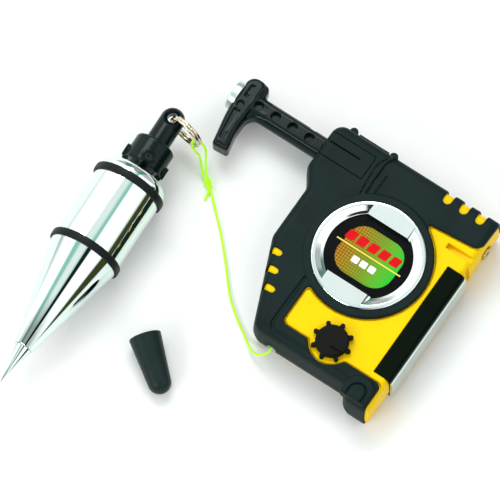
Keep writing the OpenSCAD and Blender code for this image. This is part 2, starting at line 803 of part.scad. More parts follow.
// Rod with its index holes, the T handle and the boss of the striking cap
module plunger_arm() {
    color(black) difference() {
        union() {
            difference() {
                x_rod(rod_back, rod_end, rod_r, plunger_y, plunger_z);
                box([rod_back, plunger_y - rod_r, plunger_z + rod_flat],
                    [rod_end + over, plunger_y + rod_r, case_t + over]);
            }
            difference() {
                loft(handle, handle_profile);
                handle_pockets();
            }
            translate([0, 0, plunger_z - web_t / 2]) linear_extrude(web_t) for (web = [web_lo, web_hi])
                polygon(ring(web, 0));
            x_rod(boss_x, rod_back, strike_r - 2, plunger_y, plunger_z);
        }
        for (i = [0 : hole_count - 1])
            translate([first_hole + i * hole_pitch, plunger_y, plunger_z + rod_flat - hole_depth])
                cylinder(h = 9, r = hole_r);
        for (x = [tooth_x, tooth_x - travel])
            box([x - tooth_w / 2 - gap, plunger_y + rod_r - press - 0.2, 0],
                [x + tooth_w / 2 + gap, plunger_y + rod_r + over, case_t]);
        x_rod(boss_x - over, rod_end, core_rod_r + seat, plunger_y, plunger_z);
        x_rod(rod_end - chuck_len, rod_end + over, chuck_r + seat, plunger_y, plunger_z);
    }
}

// Shallow recesses in the handle's front
module handle_pockets() {
    translate([0, 0, handle_hi - pocket_d]) linear_extrude(pocket_d + over) {
        translate([-98, 41.4]) square([1.9, 7], center = true);
        translate([-98, 33]) circle(r = 1.9);
        polygon(ring([[-99.6, 30, 0.6], [-97.4, 12.8, 1], [-94.6, 13.2, 1], [-96.2, 30, 0.6]], 0));
    }
}

module striking_cap() {
    color(chrome) translate([boss_x, plunger_y, plunger_z]) rotate([0, -90, 0]) rotate_extrude()
        polygon([[0, 0], [strike_r - 0.5, 0], [strike_r, 0.5], [strike_r, strike_t - 1.1],
            [strike_r - 0.4, strike_t - 0.5], [strike_r - 1.2, strike_t], [0, strike_t]]);
}

module plunger_core() {
    color(steel) x_rod(boss_x, rod_end - chuck_len, core_rod_r, plunger_y, plunger_z);
}

module needle_chuck() {
    color(brass) difference() {
        x_rod(rod_end - chuck_len, rod_end, chuck_r, plunger_y, plunger_z);
        x_rod(rod_end - chuck_len + 2, rod_end + over, needle_r + seat, plunger_y, plunger_z);
    }
}

module needle() {
    point = 4;
    color(chrome) {
        x_rod(rod_end - chuck_len + 2, rod_end + needle_len - point, needle_r, plunger_y, plunger_z);
        translate([rod_end + needle_len - point, plunger_y, plunger_z]) rotate([0, 90, 0])
            cylinder(h = point, r1 = needle_r, r2 = 0.1);
    }
}

module release_bar() {
    color(black) {
        difference() {
            box([bar_x0, bar_under, bar_z0], [bar_x1, bar_top, bar_z1]);
            for (i = [-3 : 3]) y_rod(bar_top - 0.5, bar_top + over, 0.5, tooth_x + 2.4 * i, plunger_z);
        }
        box([bar_x0 - bar_flange, bar_under, flange_z0], [bar_x1 + bar_flange, bar_seat, flange_z1]);
    }
}

// Steel pawl under the bar, pressed into the rod's notch to lock the plunger
module lock_pawl() {
    color(steel) box([tooth_x - tooth_w / 2, tooth_tip, plunger_z - pawl_h / 2],
        [tooth_x + tooth_w / 2, bar_under, plunger_z + pawl_h / 2]);
}

// Small coil between the shelf and the bar's flange
module release_spring() {
    length = bar_under - shelf_top - 2 * coil_wire - 0.1;
    steps = 10;
    path = [for (i = [0 : coil_turns * steps])
        let (a = 360 * i / steps, k = i / (coil_turns * steps))
        [tooth_x + coil_r * cos(a), shelf_top + coil_wire + 0.05 + length * k,
            wall + 1.1 + coil_r + coil_wire + coil_r * sin(a)]];
    color(steel) tube(path, coil_wire, 6, [0, 1, 0]);
}

module brake_knob() {
    top = face_z + knob_h;
    lo = face_z + gap;
    color(black) translate([knob_at[0], knob_at[1], 0]) difference() {
        union() {
            rotate_extrude() polygon([[post_r, lo], [knob_r, lo], [knob_r, top - 1.2],
                [knob_r - 0.8, top - 0.3], [knob_r - 2.4, top], [0, top], [0, top - knob_roof],
                [post_r, top - knob_roof]]);
            for (i = [0 : lobes - 1]) rotate(360 * i / lobes) {
                translate([knob_r + 1.05, 0, lo]) cylinder(h = knob_h - gap - 1, r = 1.1);
                translate([knob_r - 1, -1.1, lo]) cube([2.05, 2.2, knob_h - gap - 1]);
            }
        }
        translate([1.6, -3.6, top - 0.6]) rotate(2) cube([6.4, 0.9, 2], center = false);
    }
}

// Shaft with a spiral cam that lifts the shoe evenly
module knob_shaft() {
    steps = 20;
    lift = [for (i = [0 : steps]) let (a = -(knob_turn + 20) * i / steps)
        (cam_r - cam_lift * a * PI / 180) * [cos(a), sin(a)]];
    back = [for (i = [1 : 11]) let (a = -(knob_turn + 20) - 18 * i)
        (cam_r - 1.4) * [cos(a), sin(a)]];
    color(white) translate([knob_at[0], knob_at[1], 0]) rotate(knob_dir) {
        translate([0, 0, cam_z0]) linear_extrude(cam_z1 - 2.4 - cam_z0) polygon(concat(lift, back));
        translate([0, 0, cam_z0]) cylinder(h = face_z + gap - cam_z0, r = shaft_r);
        translate([0, 0, cam_z0])
            cylinder(h = face_z + knob_h - knob_roof - seat - cam_z0, r = post_r - seat);
    }
}

module brake_shoe() {
    nose = 1;
    color(steel) translate(concat(knob_at, cam_z0)) rotate(knob_dir) {
        box([shoe_tip + nose, -shoe_w / 2, 0], [pad_x1 - pad_t, shoe_w / 2, cam_z1 - 2.4 - cam_z0]);
        translate([shoe_tip + nose, 0, 0]) cylinder(h = cam_z1 - 2.4 - cam_z0, r = nose);
    }
}

module brake_pad() {
    color(slate) translate(concat(knob_at, cam_z0)) rotate(knob_dir) difference() {
        box([pad_x1 - pad_t, -pad_w / 2, 0], [pad_x1 + 1, pad_w / 2, cam_z1 - 2.4 - cam_z0]);
        translate([knob_dist, 0, -over]) cylinder(h = 20, r = pad_face);
    }
}

module line_drum() {
    color(white) rotate_extrude() polygon([
        [axle_r + run, drum_z], [hub_r, drum_z], [hub_r, groove_z - flange_t], [drum_r, groove_z - flange_t],
        [drum_r, groove_z], [core_r, groove_z], [core_r, groove_z + groove_w], [drum_r, groove_z + groove_w],
        [drum_r, cup_top], [drum_r - cup_wall, cup_top], [drum_r - cup_wall, cup_z], [axle_r + run, cup_z]]);
}

module spring_cover() {
    color(white) translate([0, 0, cup_top]) difference() {
        cylinder(h = cover_t, r = drum_r - 0.4);
        translate([0, 0, -over]) cylinder(h = cover_t + 2 * over, r = arbor_r + gap);
    }
}

module wound_line() {
    color(lime) translate([0, 0, groove_z + seat]) difference() {
        cylinder(h = groove_w - 2 * seat, r = wound_r);
        translate([0, 0, -over]) cylinder(h = groove_w + 2 * over, r = core_r + seat);
    }
}

module split_ring() {
    color(chrome) translate(ring_at) rotate([90, 0, ring_yaw]) rotate_extrude() translate([ring_r, 0]) {
        for (s = [-1, 1]) translate([0, s * ring_w / 2]) circle(r = wire_r);
        square([1.2 * wire_r, ring_w], center = true);
    }
}

module line_loop() {
    color(lime) tube(spline(loop_route, 3), line_r, 8, loop_up);
}

module line_knot() {
    color(lime) translate(knot_at) rotate([0, 90, knot_yaw]) rotate_extrude()
        polygon(concat([[0, -knot_half]], [for (i = [0 : 24])
            let (z = -knot_half + 2 * knot_half * i / 24)
            [knot_r - 0.5 + 0.5 * abs(sin(180 * 3 * i / 24)), z]], [[0, knot_half]]));
}

// Lays a piece of the bob, drawn upright from its point, along the table
module bob_place() {
    translate(bob_hole) rotate([0, 0, bob_yaw]) rotate([-90, 0, 0]) translate([0, 0, -hole_a]) children();
}

module bob_neck() {
    eye_h = 2.4;
    mouth_h = neck_r + over;
    mouth_r = eye_r + 0.62 * (mouth_h - eye_h);
    color(black) bob_place() difference() {
        rotate_extrude() polygon(concat([[0, head_a], [stem_flange_r, head_a],
            [stem_flange_r, pocket_top - gap], [stem_r, pocket_top - gap], [stem_r, neck_a],
            [neck_r - 0.4, neck_a], [neck_r, neck_a + 0.4]],
            [for (i = [0 : 5]) [neck_r * cos(15 * i), eye_a + neck_r * sin(15 * i)]], [[0, neck_end]]));
        translate([0, 0, hole_a]) rotate([90, 0, 0]) rotate(45) rotate_extrude()
            polygon([[0, -mouth_h], [mouth_r, -mouth_h], [eye_r, -eye_h],
                [eye_r, eye_h], [mouth_r, mouth_h], [0, mouth_h]]);
    }
}

module bob_collar() {
    round_r = 1.6;
    color(black) bob_place() difference() {
        union() {
            rotate_extrude() polygon(concat([[pocket_r, head_a - spigot_len], [spigot_r, head_a - spigot_len],
                [spigot_r, head_a], [collar_r, head_a]],
                [for (i = [0 : 6])
                    [collar_r - round_r + round_r * cos(15 * i), collar_a - round_r + round_r * sin(15 * i)]],
                [[stem_r + run, collar_a], [stem_r + run, pocket_top], [pocket_r, pocket_top]]));
            for (a = plug_turns) translate([0, 0, plug_a]) rotate([90, 0, a]) difference() {
                cylinder(h = collar_r + 1.5, r = plug_r + 1.3);
                translate([0, 0, -over]) cylinder(h = collar_r - 0.4 + over, r = 2 * plug_r);
            }
        }
        for (a = plug_turns) translate([0, 0, plug_a]) rotate([90, 0, a])
            translate([0, 0, collar_r - 1.4]) cylinder(h = 9, r = plug_r + seat);
    }
}

module collar_screws() {
    color(steel) bob_place() for (a = plug_turns) translate([0, 0, plug_a]) rotate([90, 0, a])
        translate([0, 0, collar_r - 1.35]) difference() {
            cylinder(h = 1.9, r = plug_r);
            translate([0, 0, 1]) cylinder(h = 2, r = 0.9, $fn = 6);
        }
}

module bob_body() {
    shoulder_r = 6;
    groove = bob_r - bumper_groove;
    color(chrome) bob_place() rotate_extrude() polygon(concat(
        [[stud_r + seat, tip_len], [tip_r + 0.6, tip_len], [bob_r, bumper_a[0] - bumper_w / 2 - seat]],
        [for (a = bumper_a) each [[bob_r, a - bumper_w / 2 - seat], [groove, a - bumper_w / 2 - seat],
            [groove, a + bumper_w / 2 + seat], [bob_r, a + bumper_w / 2 + seat]]],
        [for (i = [0 : 6])
            [bob_r - shoulder_r + shoulder_r * cos(12 * i), shoulder_a + shoulder_r * sin(12 * i)]],
        [[head_face_r, head_a], [spigot_r + seat, head_a], [spigot_r + seat, well_a1], [well_r, well_a1],
            [well_r, well_a0], [0, well_a0], [0, tip_len + stud_len + 0.4],
            [stud_r + seat, tip_len + stud_len + 0.4]]));
}

module bob_tip() {
    color(chrome) bob_place() rotate_extrude() polygon([[0, 0], [point_r, 0], [tip_r, tip_len],
        [stud_r, tip_len], [stud_r, tip_len + stud_len], [0, tip_len + stud_len]]);
}

module bumper(a) {
    inner = bob_r - bumper_groove + seat;
    edge = 0.7;
    color(slate) bob_place() translate([0, 0, a]) rotate_extrude() polygon([[inner, -bumper_w / 2],
        [bumper_r - edge, -bumper_w / 2], [bumper_r, -bumper_w / 2 + edge], [bumper_r, bumper_w / 2 - edge],
        [bumper_r - edge, bumper_w / 2], [inner, bumper_w / 2]]);
}

module lower_bumper() {
    bumper(bumper_a[0]);
}

module upper_bumper() {
    bumper(bumper_a[1]);
}

module damper_weight() {
    color(brass) bob_place() translate([0, 0, well_a0 + 0.1]) cylinder(h = damper_len, r = well_r - gap);
}

module tip_cap() {
    cavity = cap_run - 1;
    lie = cap_mouth_r * cos(cap_tilt) + seat;
    color(slate) translate(concat(cap_at, lie)) rotate([0, 90 + cap_tilt, cap_yaw])
        rotate_extrude() polygon(concat(
            [[cap_mouth_r - cap_wall, 0], [cap_mouth_r, 0]],
            [for (i = [0 : 8]) [cap_end_r * cos(10 * i), cap_run + cap_end_r * sin(10 * i)]],
            [[0, cap_len], [0, cavity + 2], [cap_end_r - cap_wall - 1, cavity + 1.4],
                [cap_end_r - cap_wall, cavity]]));
}

front_shell();
rear_shell();
front_grip();
rear_grip();
bezel_ring();
label_plate();
channel_cover();
case_screws();
magnet_block();
pole_plate();
needle_bush();
drum_axle();
thrust_washer();
spring_arbor();
rewind_spring();
line_eyelet();
line_lead();
line_run();
plunger_arm();
striking_cap();
plunger_core();
needle_chuck();
needle();
release_bar();
lock_pawl();
release_spring();
brake_knob();
knob_shaft();
brake_shoe();
brake_pad();
line_drum();
spring_cover();
wound_line();
split_ring();
line_loop();
line_knot();
bob_neck();
bob_collar();
collar_screws();
bob_body();
bob_tip();
lower_bumper();
upper_bumper();
damper_weight();
tip_cap();
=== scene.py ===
import itertools
import json
import math

import bpy
import numpy as np
from mathutils import Matrix, Vector


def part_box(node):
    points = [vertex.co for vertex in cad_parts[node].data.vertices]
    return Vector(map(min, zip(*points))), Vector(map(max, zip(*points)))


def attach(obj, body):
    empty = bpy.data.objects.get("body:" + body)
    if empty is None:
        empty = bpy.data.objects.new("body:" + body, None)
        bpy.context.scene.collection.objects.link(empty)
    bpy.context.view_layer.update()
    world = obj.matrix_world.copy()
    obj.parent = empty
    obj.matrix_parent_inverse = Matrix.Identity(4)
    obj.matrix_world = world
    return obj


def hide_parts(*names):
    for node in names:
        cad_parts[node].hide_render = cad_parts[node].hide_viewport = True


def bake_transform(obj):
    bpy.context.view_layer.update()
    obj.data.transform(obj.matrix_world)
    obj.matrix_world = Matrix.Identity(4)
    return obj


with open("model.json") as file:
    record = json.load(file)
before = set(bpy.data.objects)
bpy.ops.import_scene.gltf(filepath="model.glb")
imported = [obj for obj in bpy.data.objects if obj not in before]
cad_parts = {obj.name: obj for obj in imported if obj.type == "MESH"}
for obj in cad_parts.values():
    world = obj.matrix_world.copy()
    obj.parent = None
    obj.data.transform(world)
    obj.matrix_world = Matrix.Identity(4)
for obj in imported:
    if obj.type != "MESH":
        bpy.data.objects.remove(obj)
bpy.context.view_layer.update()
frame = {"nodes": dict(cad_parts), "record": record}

# The part's lengths are in millimetres, in its own frame, and its meshes are scaled to metres when they
# are made. Materials, floor and lights are given in metres.
MM = 0.001

# The photograph: its frame, where the dial's middle lies in it, its scale there, and a long lens in pixels
FRAME_PX = 500
DIAL_PX = (368.46, 255.19)
DIAL = (0, 0, 27)
MM_PER_PX = 0.49
FOCAL_PX = 9000
DISTANCE = MM_PER_PX * FOCAL_PX
AZIMUTH = math.radians(34)
ELEVATION = math.radians(70.2)
SENSOR = 36


def add_camera():
    right = Vector((math.cos(AZIMUTH), math.sin(AZIMUTH), 0))
    level = math.cos(ELEVATION)
    back = Vector((math.sin(AZIMUTH) * level, -math.cos(AZIMUTH) * level, math.sin(ELEVATION)))
    up = back.cross(right)
    across = (DIAL_PX[0] - FRAME_PX / 2) / FOCAL_PX
    down = (DIAL_PX[1] - FRAME_PX / 2) / FOCAL_PX
    place = Matrix((right, up, back)).transposed().to_4x4()
    place.translation = (Vector(DIAL) + DISTANCE * (back - across * right + down * up)) * MM
    data = bpy.data.cameras.new("camera")
    data.sensor_width = SENSOR
    data.lens = SENSOR * FOCAL_PX / FRAME_PX
    camera = bpy.data.objects.new("camera", data)
    camera.matrix_world = place
    bpy.context.scene.collection.objects.link(camera)
    bpy.context.scene.camera = camera
    bpy.context.scene.view_settings.view_transform = "Standard"


add_camera()


# Materials

def add_node(material, kind, **settings):
    """A new node with its inputs and properties set; an input is named with spaces as underscores."""
    node = material.node_tree.nodes.new(kind)
    for key, value in settings.items():
        name = key.replace("_", " ")
        if name in node.inputs:
            node.inputs[name].default_value = value
        else:
            setattr(node, key, value)
    return node


def ramp_node(material, source, stops):
    """A colour ramp over a node's output, through (position, colour) stops."""
    ramp = add_node(material, "ShaderNodeValToRGB")
    elements = ramp.color_ramp.elements
    while len(elements) < len(stops):
        elements.new(0.5)
    for element, (position, colour) in zip(elements, stops):
        element.position = position
        element.color = (*colour, 1)
    material.node_tree.links.new(source, ramp.inputs["Fac"])
    return ramp.outputs["Color"]


def noise_over(material, vector, scale, detail=3):
    noise = add_node(material, "ShaderNodeTexNoise", Scale=scale, Detail=detail)
    material.node_tree.links.new(vector, noise.inputs["Vector"])
    return noise.outputs["Fac"]


def remap(material, source, low, high, start=0.3, end=0.7):
    node = add_node(material, "ShaderNodeMapRange")
    for name, value in zip(("From Min", "From Max", "To Min", "To Max"), (start, end, low, high)):
        node.inputs[name].default_value = value
    material.node_tree.links.new(source, node.inputs["Value"])
    return node.outputs["Result"]


def surface(name, dark, light, rough, grain=1500, depth=0.00002, mottle=60, stretch=(1, 1, 1), **fixed):
    """A mottled colour between dark and light, roughness between the two of rough, and a fine grain.
    Scales are per metre, stretch squeezes the grain along an axis, and fixed sets the shader's sockets."""
    material = bpy.data.materials.new(name)
    material.use_nodes = True
    links = material.node_tree.links
    shader = material.node_tree.nodes["Principled BSDF"]
    place = add_node(material, "ShaderNodeTexCoord").outputs["Object"]
    squeeze = add_node(material, "ShaderNodeMapping", Scale=stretch)
    links.new(place, squeeze.inputs["Vector"])
    fine = noise_over(material, squeeze.outputs["Vector"], grain)
    broad = noise_over(material, place, mottle, 5)
    links.new(ramp_node(material, broad, [(0.3, dark), (0.7, light)]), shader.inputs["Base Color"])
    links.new(remap(material, fine, *rough), shader.inputs["Roughness"])
    bump = add_node(material, "ShaderNodeBump", Strength=0.5, Distance=depth)
    links.new(fine, bump.inputs["Height"])
    links.new(bump.outputs["Normal"], shader.inputs["Normal"])
    for key, value in fixed.items():
        shader.inputs[key.replace("_", " ")].default_value = value
    return material


YELLOW = surface("yellow_plastic", (0.88, 0.575, 0.0), (0.93, 0.61, 0.001), (0.26, 0.34), 900, 0.000004,
                 Specular_IOR_Level=0.06)
GRIP = surface("grip_elastomer", (0.0026, 0.0105, 0.0098), (0.0044, 0.0155, 0.0145), (0.44, 0.58),
               2600, 0.00002, Specular_IOR_Level=0.11)
BLACK = surface("black_plastic", (0.0012, 0.0072, 0.0075), (0.0024, 0.01, 0.0105), (0.12, 0.17),
                1800, 0.0000008, Specular_IOR_Level=0.16)
KNOB_BROWN = surface("knob_brown", (0.003, 0.004, 0.003), (0.006, 0.006, 0.0045), (0.4, 0.52), 2200, 0.00001,
                     Specular_IOR_Level=0.07)
RUBBER = surface("bumper_rubber", (0.003, 0.0065, 0.006), (0.0045, 0.0095, 0.009), (0.4, 0.55), 3000, 0.00001,
                 Specular_IOR_Level=0.16)
CAP_RUBBER = surface("cap_rubber", (0.0035, 0.0125, 0.012), (0.006, 0.019, 0.0185), (0.36, 0.5),
                     3000, 0.00001, Specular_IOR_Level=0.2)
CHROME = surface("bright_chrome", (0.71, 0.82, 0.785), (0.75, 0.86, 0.825), (0.02, 0.04), 700, 0.000000002,
                 stretch=(1, 0.02, 1), Metallic=1.0)
DIAL_CHROME = surface("dial_chrome", (0.74, 0.82, 0.8), (0.78, 0.86, 0.84), (0.05, 0.1), 900, 0.0000002,
                      Metallic=1.0)
SATIN = surface("satin_chrome", (0.6, 0.72, 0.67), (0.66, 0.78, 0.73), (0.3, 0.4),
                900, 0.000002, Metallic=1.0)
STEEL = surface("bare_steel", (0.42, 0.43, 0.44), (0.56, 0.57, 0.58), (0.22, 0.36), 1200, 0.000006,
                stretch=(0.05, 1, 1), Metallic=1.0)
BLACK_STEEL = surface("black_steel", (0.01, 0.011, 0.012), (0.018, 0.019, 0.02), (0.3, 0.42), 1400, 0.000004,
                      Metallic=0.6)
NICKEL = surface("nickel", (0.62, 0.55, 0.4), (0.78, 0.72, 0.58), (0.08, 0.18), 1200, 0.000003, Metallic=1.0)
BRASS = surface("brass", (0.6, 0.42, 0.16), (0.74, 0.55, 0.24), (0.2, 0.34), 1200, 0.000006, Metallic=1.0)
MAGNET = surface("magnet_black", (0.0012, 0.0045, 0.0014), (0.0026, 0.0065, 0.0028), (0.36, 0.5),
                 1600, 0.000006, Specular_IOR_Level=0.03)
ACETAL = surface("white_acetal", (0.72, 0.72, 0.68), (0.8, 0.8, 0.77), (0.38, 0.5), 1200, 0.000006)
# The line's lime carries a faint emission: a painted glow that stands in for the line's fluorescent
# brightness, shining whatever the lamps do.
LIME = surface("line_lime", (0.42, 0.86, 0.004), (0.52, 0.98, 0.01), (0.5, 0.7), 2400, 0.00004, mottle=900,
               Emission_Color=(0.4, 0.9, 0.01, 1), Emission_Strength=0.22)
LABEL = surface("label_black", (0.001, 0.0016, 0.0018), (0.002, 0.003, 0.0034), (0.14, 0.22), 1000, 0.000001,
                Specular_IOR_Level=0.06)
SLOT_MATERIALS = {
    "yellow_shell": YELLOW, "grip_elastomer": GRIP, "black_plastic": BLACK, "label": LABEL,
    "bright_chrome": CHROME, "bare_steel": STEEL, "nickel": NICKEL, "brass_metal": BRASS,
    "magnet_black": MAGNET, "white_acetal": ACETAL, "line_lime": LIME, "bumper_rubber": RUBBER}


# Making meshes

def piece(name, points, faces, material, body, slot, replaces=(), sharp=40, normals=None):
    """A mesh from points in millimetres that rides on a body and stands for some CAD nodes."""
    mesh = bpy.data.meshes.new(name)
    points = np.asarray(points, float) * MM
    mesh.from_pydata(points.tolist(), [], [list(map(int, f)) for f in faces])
    mesh.validate()
    mesh.polygons.foreach_set("use_smooth", [True] * len(mesh.polygons))
    if normals is None:
        mesh.set_sharp_from_angle(angle=math.radians(sharp))
    else:
        mesh.normals_split_custom_set_from_vertices(normals.tolist())
    mesh.materials.append(material)
    made = bpy.data.objects.new(name, mesh)
    bpy.context.scene.collection.objects.link(made)
    if body:
        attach(made, body)
    if replaces:
        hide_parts(*replaces)
    return made


def spline(points, steps):
    """Smooth curve through points, with a number of steps in each span."""
    p = np.asarray(points, float)
    last = len(p) - 1
    t = np.arange(steps)[:, None] / steps
    out = []
    for i in range(last):
        a, b, c, d = p[max(i - 1, 0)], p[i], p[i + 1], p[min(i + 2, last)]
        square = 2 * a - 5 * b + 4 * c - d
        cube = 3 * b - a - 3 * c + d
        out.append((2 * b + (c - a) * t + square * t ** 2 + cube * t ** 3) / 2)
    return np.concatenate(out + [p[-1:]])


def bands(rings, sides):
    """Quads between each closed ring of points and the next, with the same number of points in all."""
    return [(k + j, k + (j + 1) % sides, k + sides + (j + 1) % sides, k + sides + j)
            for k in range(0, (rings - 1) * sides, sides) for j in range(sides)]


def tube(path, radius, sides=12):
    """Points and faces of a round tube along a path, closed at both ends."""
    path = np.asarray(path, float)
    n = len(path)
    along = np.gradient(path, axis=0)
    along /= np.linalg.norm(along, axis=1)[:, None]
    side = np.cross(along[0], (0, 0, 1) if abs(along[0][2]) < 0.9 else (1, 0, 0))
    angles = np.arange(sides) * 2 * np.pi / sides
    rings = []
    for p, t in zip(path, along):
        side = side - t * (side @ t)
        side /= np.linalg.norm(side)
        other = np.cross(t, side)
        rings.append(p + radius * (np.cos(angles)[:, None] * side + np.sin(angles)[:, None] * other))
    faces = bands(n, sides)
    faces.append(tuple(range(sides))[::-1])
    faces.append(tuple(range((n - 1) * sides, n * sides)))
    return np.concatenate(rings), faces


def lathe(profile, place, segments=128):
    """Points and faces of a solid turned about its own Z from a (radius, height) profile, then placed."""
    profile = np.asarray(profile, float)
    angles = np.arange(segments) * 2 * np.pi / segments
    rings = [np.stack([r * np.cos(angles), r * np.sin(angles), np.full(segments, h)], 1) for r, h in profile]
    local = np.concatenate(rings)
    turned = local @ np.array(place.to_3x3()).T + np.array(place.translation)
    m = len(profile)
    faces = bands(m, segments)
    if profile[0][0] > 0 and np.allclose(profile[0], profile[-1]):
        return turned, faces
    faces.append(tuple(range(segments))[::-1])
    faces.append(tuple(range((m - 1) * segments, m * segments)))
    return turned, faces


def rounded(corners, inset=0.0, step=7.5, closed=True):
    """An outline through (x, y, radius) corners, each rounded, moved inwards by inset where it is closed."""
    p = np.array([c[:2] for c in corners], float)
    n = len(p)
    out = []
    for i, (x, y, radius) in enumerate(corners):
        if not closed and i in (0, n - 1):
            out.append((x, y))
            continue
        u = p[i] - p[i - 1]
        w = p[(i + 1) % n] - p[i]
        u, w = u / np.hypot(*u), w / np.hypot(*w)
        nu, nw = np.array((-u[1], u[0])), np.array((-w[1], w[0]))
        turn = math.atan2(u[0] * w[1] - u[1] * w[0], u @ w)
        hand = 1 if turn > 0 else -1
        r = max(radius - hand * inset, 0.05)
        centre = p[i] + (inset + hand * r) * (nu + nw) / (1 + nu @ nw)
        steps = max(1, math.ceil(abs(math.degrees(turn)) / step))
        for k in range(steps + 1):
            a = turn * k / steps
            c, s = math.cos(a), math.sin(a)
            out.append(tuple(centre - hand * r * np.array((nu[0] * c - nu[1] * s, nu[0] * s + nu[1] * c))))
    return np.array(out)


# Signed distances, negative inside, for shapes that are carved out of a field

def polygon_distance(x, y, polygon):
    best, odd = np.float32(np.inf), False
    for (ax, ay), (bx, by) in zip(polygon, np.roll(polygon, -1, axis=0)):
        ex, ey = bx - ax, by - ay
        if ex == 0 and ey == 0:
            continue
        wx, wy = x - ax, y - ay
        t = np.clip((wx * ex + wy * ey) / (ex * ex + ey * ey), 0, 1)
        best = np.minimum(best, (wx - t * ex) ** 2 + (wy - t * ey) ** 2)
        if ey != 0:
            odd = odd ^ (((ay > y) != (by > y)) & (wx < ex * wy / ey))
    return np.where(odd, -1, 1) * np.sqrt(best)


def path_distance(x, y, points):
    best = np.float32(np.inf)
    for (ax, ay), (bx, by) in zip(points[:-1], points[1:]):
        ex, ey = bx - ax, by - ay
        t = np.clip(((x - ax) * ex + (y - ay) * ey) / (ex * ex + ey * ey), 0, 1)
        best = np.minimum(best, (x - ax - t * ex) ** 2 + (y - ay - t * ey) ** 2)
    return np.sqrt(best)


def brick(x, y, z, low, high, radius=0.3):
    """Box between two corners with rounded edges."""
    gaps = [np.abs(v - (a + b) / 2) - (b - a) / 2 + radius for v, a, b in zip((x, y, z), low, high)]
    outside = np.sqrt(sum(np.maximum(g, 0) ** 2 for g in gaps))
    return outside + np.minimum(np.maximum(np.maximum(gaps[0], gaps[1]), gaps[2]), 0) - radius


def rod(across, along, start, end, r, radius=0.3):
    """Cylinder from its distance across and its place along, with rounded rims."""
    a = across - r + radius
    b = np.abs(along - (start + end) / 2) - (end - start) / 2 + radius
    return np.hypot(np.maximum(a, 0), np.maximum(b, 0)) + np.minimum(np.maximum(a, b), 0) - radius


def plate(flat, z, low, high, radius=0.3):
    """A flat outline's distance raised into a slab with rounded edges."""
    a = flat + radius
    b = np.abs(z - (low + high) / 2) - (high - low) / 2 + radius
    return np.hypot(np.maximum(a, 0), np.maximum(b, 0)) + np.minimum(np.maximum(a, b), 0) - radius


def join(a, b, soft=0.4):
    h = np.maximum(soft - np.abs(a - b), 0) / soft
    return np.minimum(a, b) - h * h * soft / 4


def cut(a, b, soft=0.4):
    return -join(-a, b, soft)


def gradient(field, points, reach=0.02):
    return np.stack([(field(*(points + reach * e).T) - field(*(points - reach * e).T)) / (2 * reach)
                     for e in np.eye(3)], 1)


def carve(field, low, high, step, hidden=None):
    """Points, quads and normals of a field's zero surface, one point for each grid cell that it
    crosses. Faces for whose middle hidden is true are left out."""
    axes = [np.arange(a - 2 * step, b + 2 * step, step, dtype=np.float32) for a, b in zip(low, high)]
    x, y, z = np.meshgrid(*axes, indexing="ij", sparse=True)
    value = np.broadcast_to(field(x, y, z), [len(a) for a in axes])
    inside = value < 0
    corners = list(itertools.product((0, 1), repeat=3))
    shape = [len(a) - 1 for a in axes]
    count = sum(inside[i:i + shape[0], j:j + shape[1], k:k + shape[2]].astype(np.int8) for i, j, k in corners)
    cells = np.argwhere((count > 0) & (count < 8))
    number = np.full(shape, -1)
    number[tuple(cells.T)] = np.arange(len(cells))
    total, hits = np.zeros((len(cells), 3)), np.zeros((len(cells), 1))
    for a, b in itertools.combinations(corners, 2):
        if sum(abs(p - q) for p, q in zip(a, b)) == 1:
            va, vb = value[tuple((cells + a).T)], value[tuple((cells + b).T)]
            crossed = (va < 0) != (vb < 0)
            t = np.where(crossed, va / np.where(crossed, va - vb, 1), 0)[:, None]
            total += crossed[:, None] * (np.array(a) + t * (np.array(b) - np.array(a)))
            hits += crossed[:, None]
    points = (cells + total / hits) * step + [a[0] for a in axes]
    faces = []
    for d in range(3):
        e, f = (d + 1) % 3, (d + 2) % 3
        lower = np.take(inside, np.arange(len(axes[d]) - 1), axis=d)
        at = np.argwhere(lower != np.take(inside, np.arange(1, len(axes[d])), axis=d))
        quad = []
        for back_e, back_f in ((1, 1), (0, 1), (0, 0), (1, 0)):
            cell = at.copy()
            cell[:, e] -= back_e
            cell[:, f] -= back_f
            quad.append(number[tuple(cell.T)])
        quad = np.stack(quad, 1)
        flip = ~lower[tuple(at.T)]
        quad[flip] = quad[flip][:, ::-1]
        faces.append(quad)
    faces = np.concatenate(faces)
    for _ in range(2):
        slope = gradient(field, points)
        move = field(*points.T)[:, None] * slope / np.maximum((slope ** 2).sum(1), 0.2)[:, None]
        points -= np.clip(move, -step / 2, step / 2)
    if hidden is not None:
        faces = faces[~hidden(*points[faces].mean(1).T)]
    used = np.unique(faces)
    fresh = np.zeros(len(points), int)
    fresh[used] = np.arange(len(used))
    normals = gradient(field, points[used])
    normals /= np.maximum(np.linalg.norm(normals, axis=1), 1e-6)[:, None]
    return points[used], fresh[faces], normals


def carved_piece(name, field, low, high, step, material, body, slot, replaces=(), hidden=None):
    points, faces, normals = carve(field, low, high, step, hidden)
    return piece(name, points, faces, material, body, slot, replaces, normals=normals)


# The free line: out of the reel, over the floor to its knot, and the loop through the ring

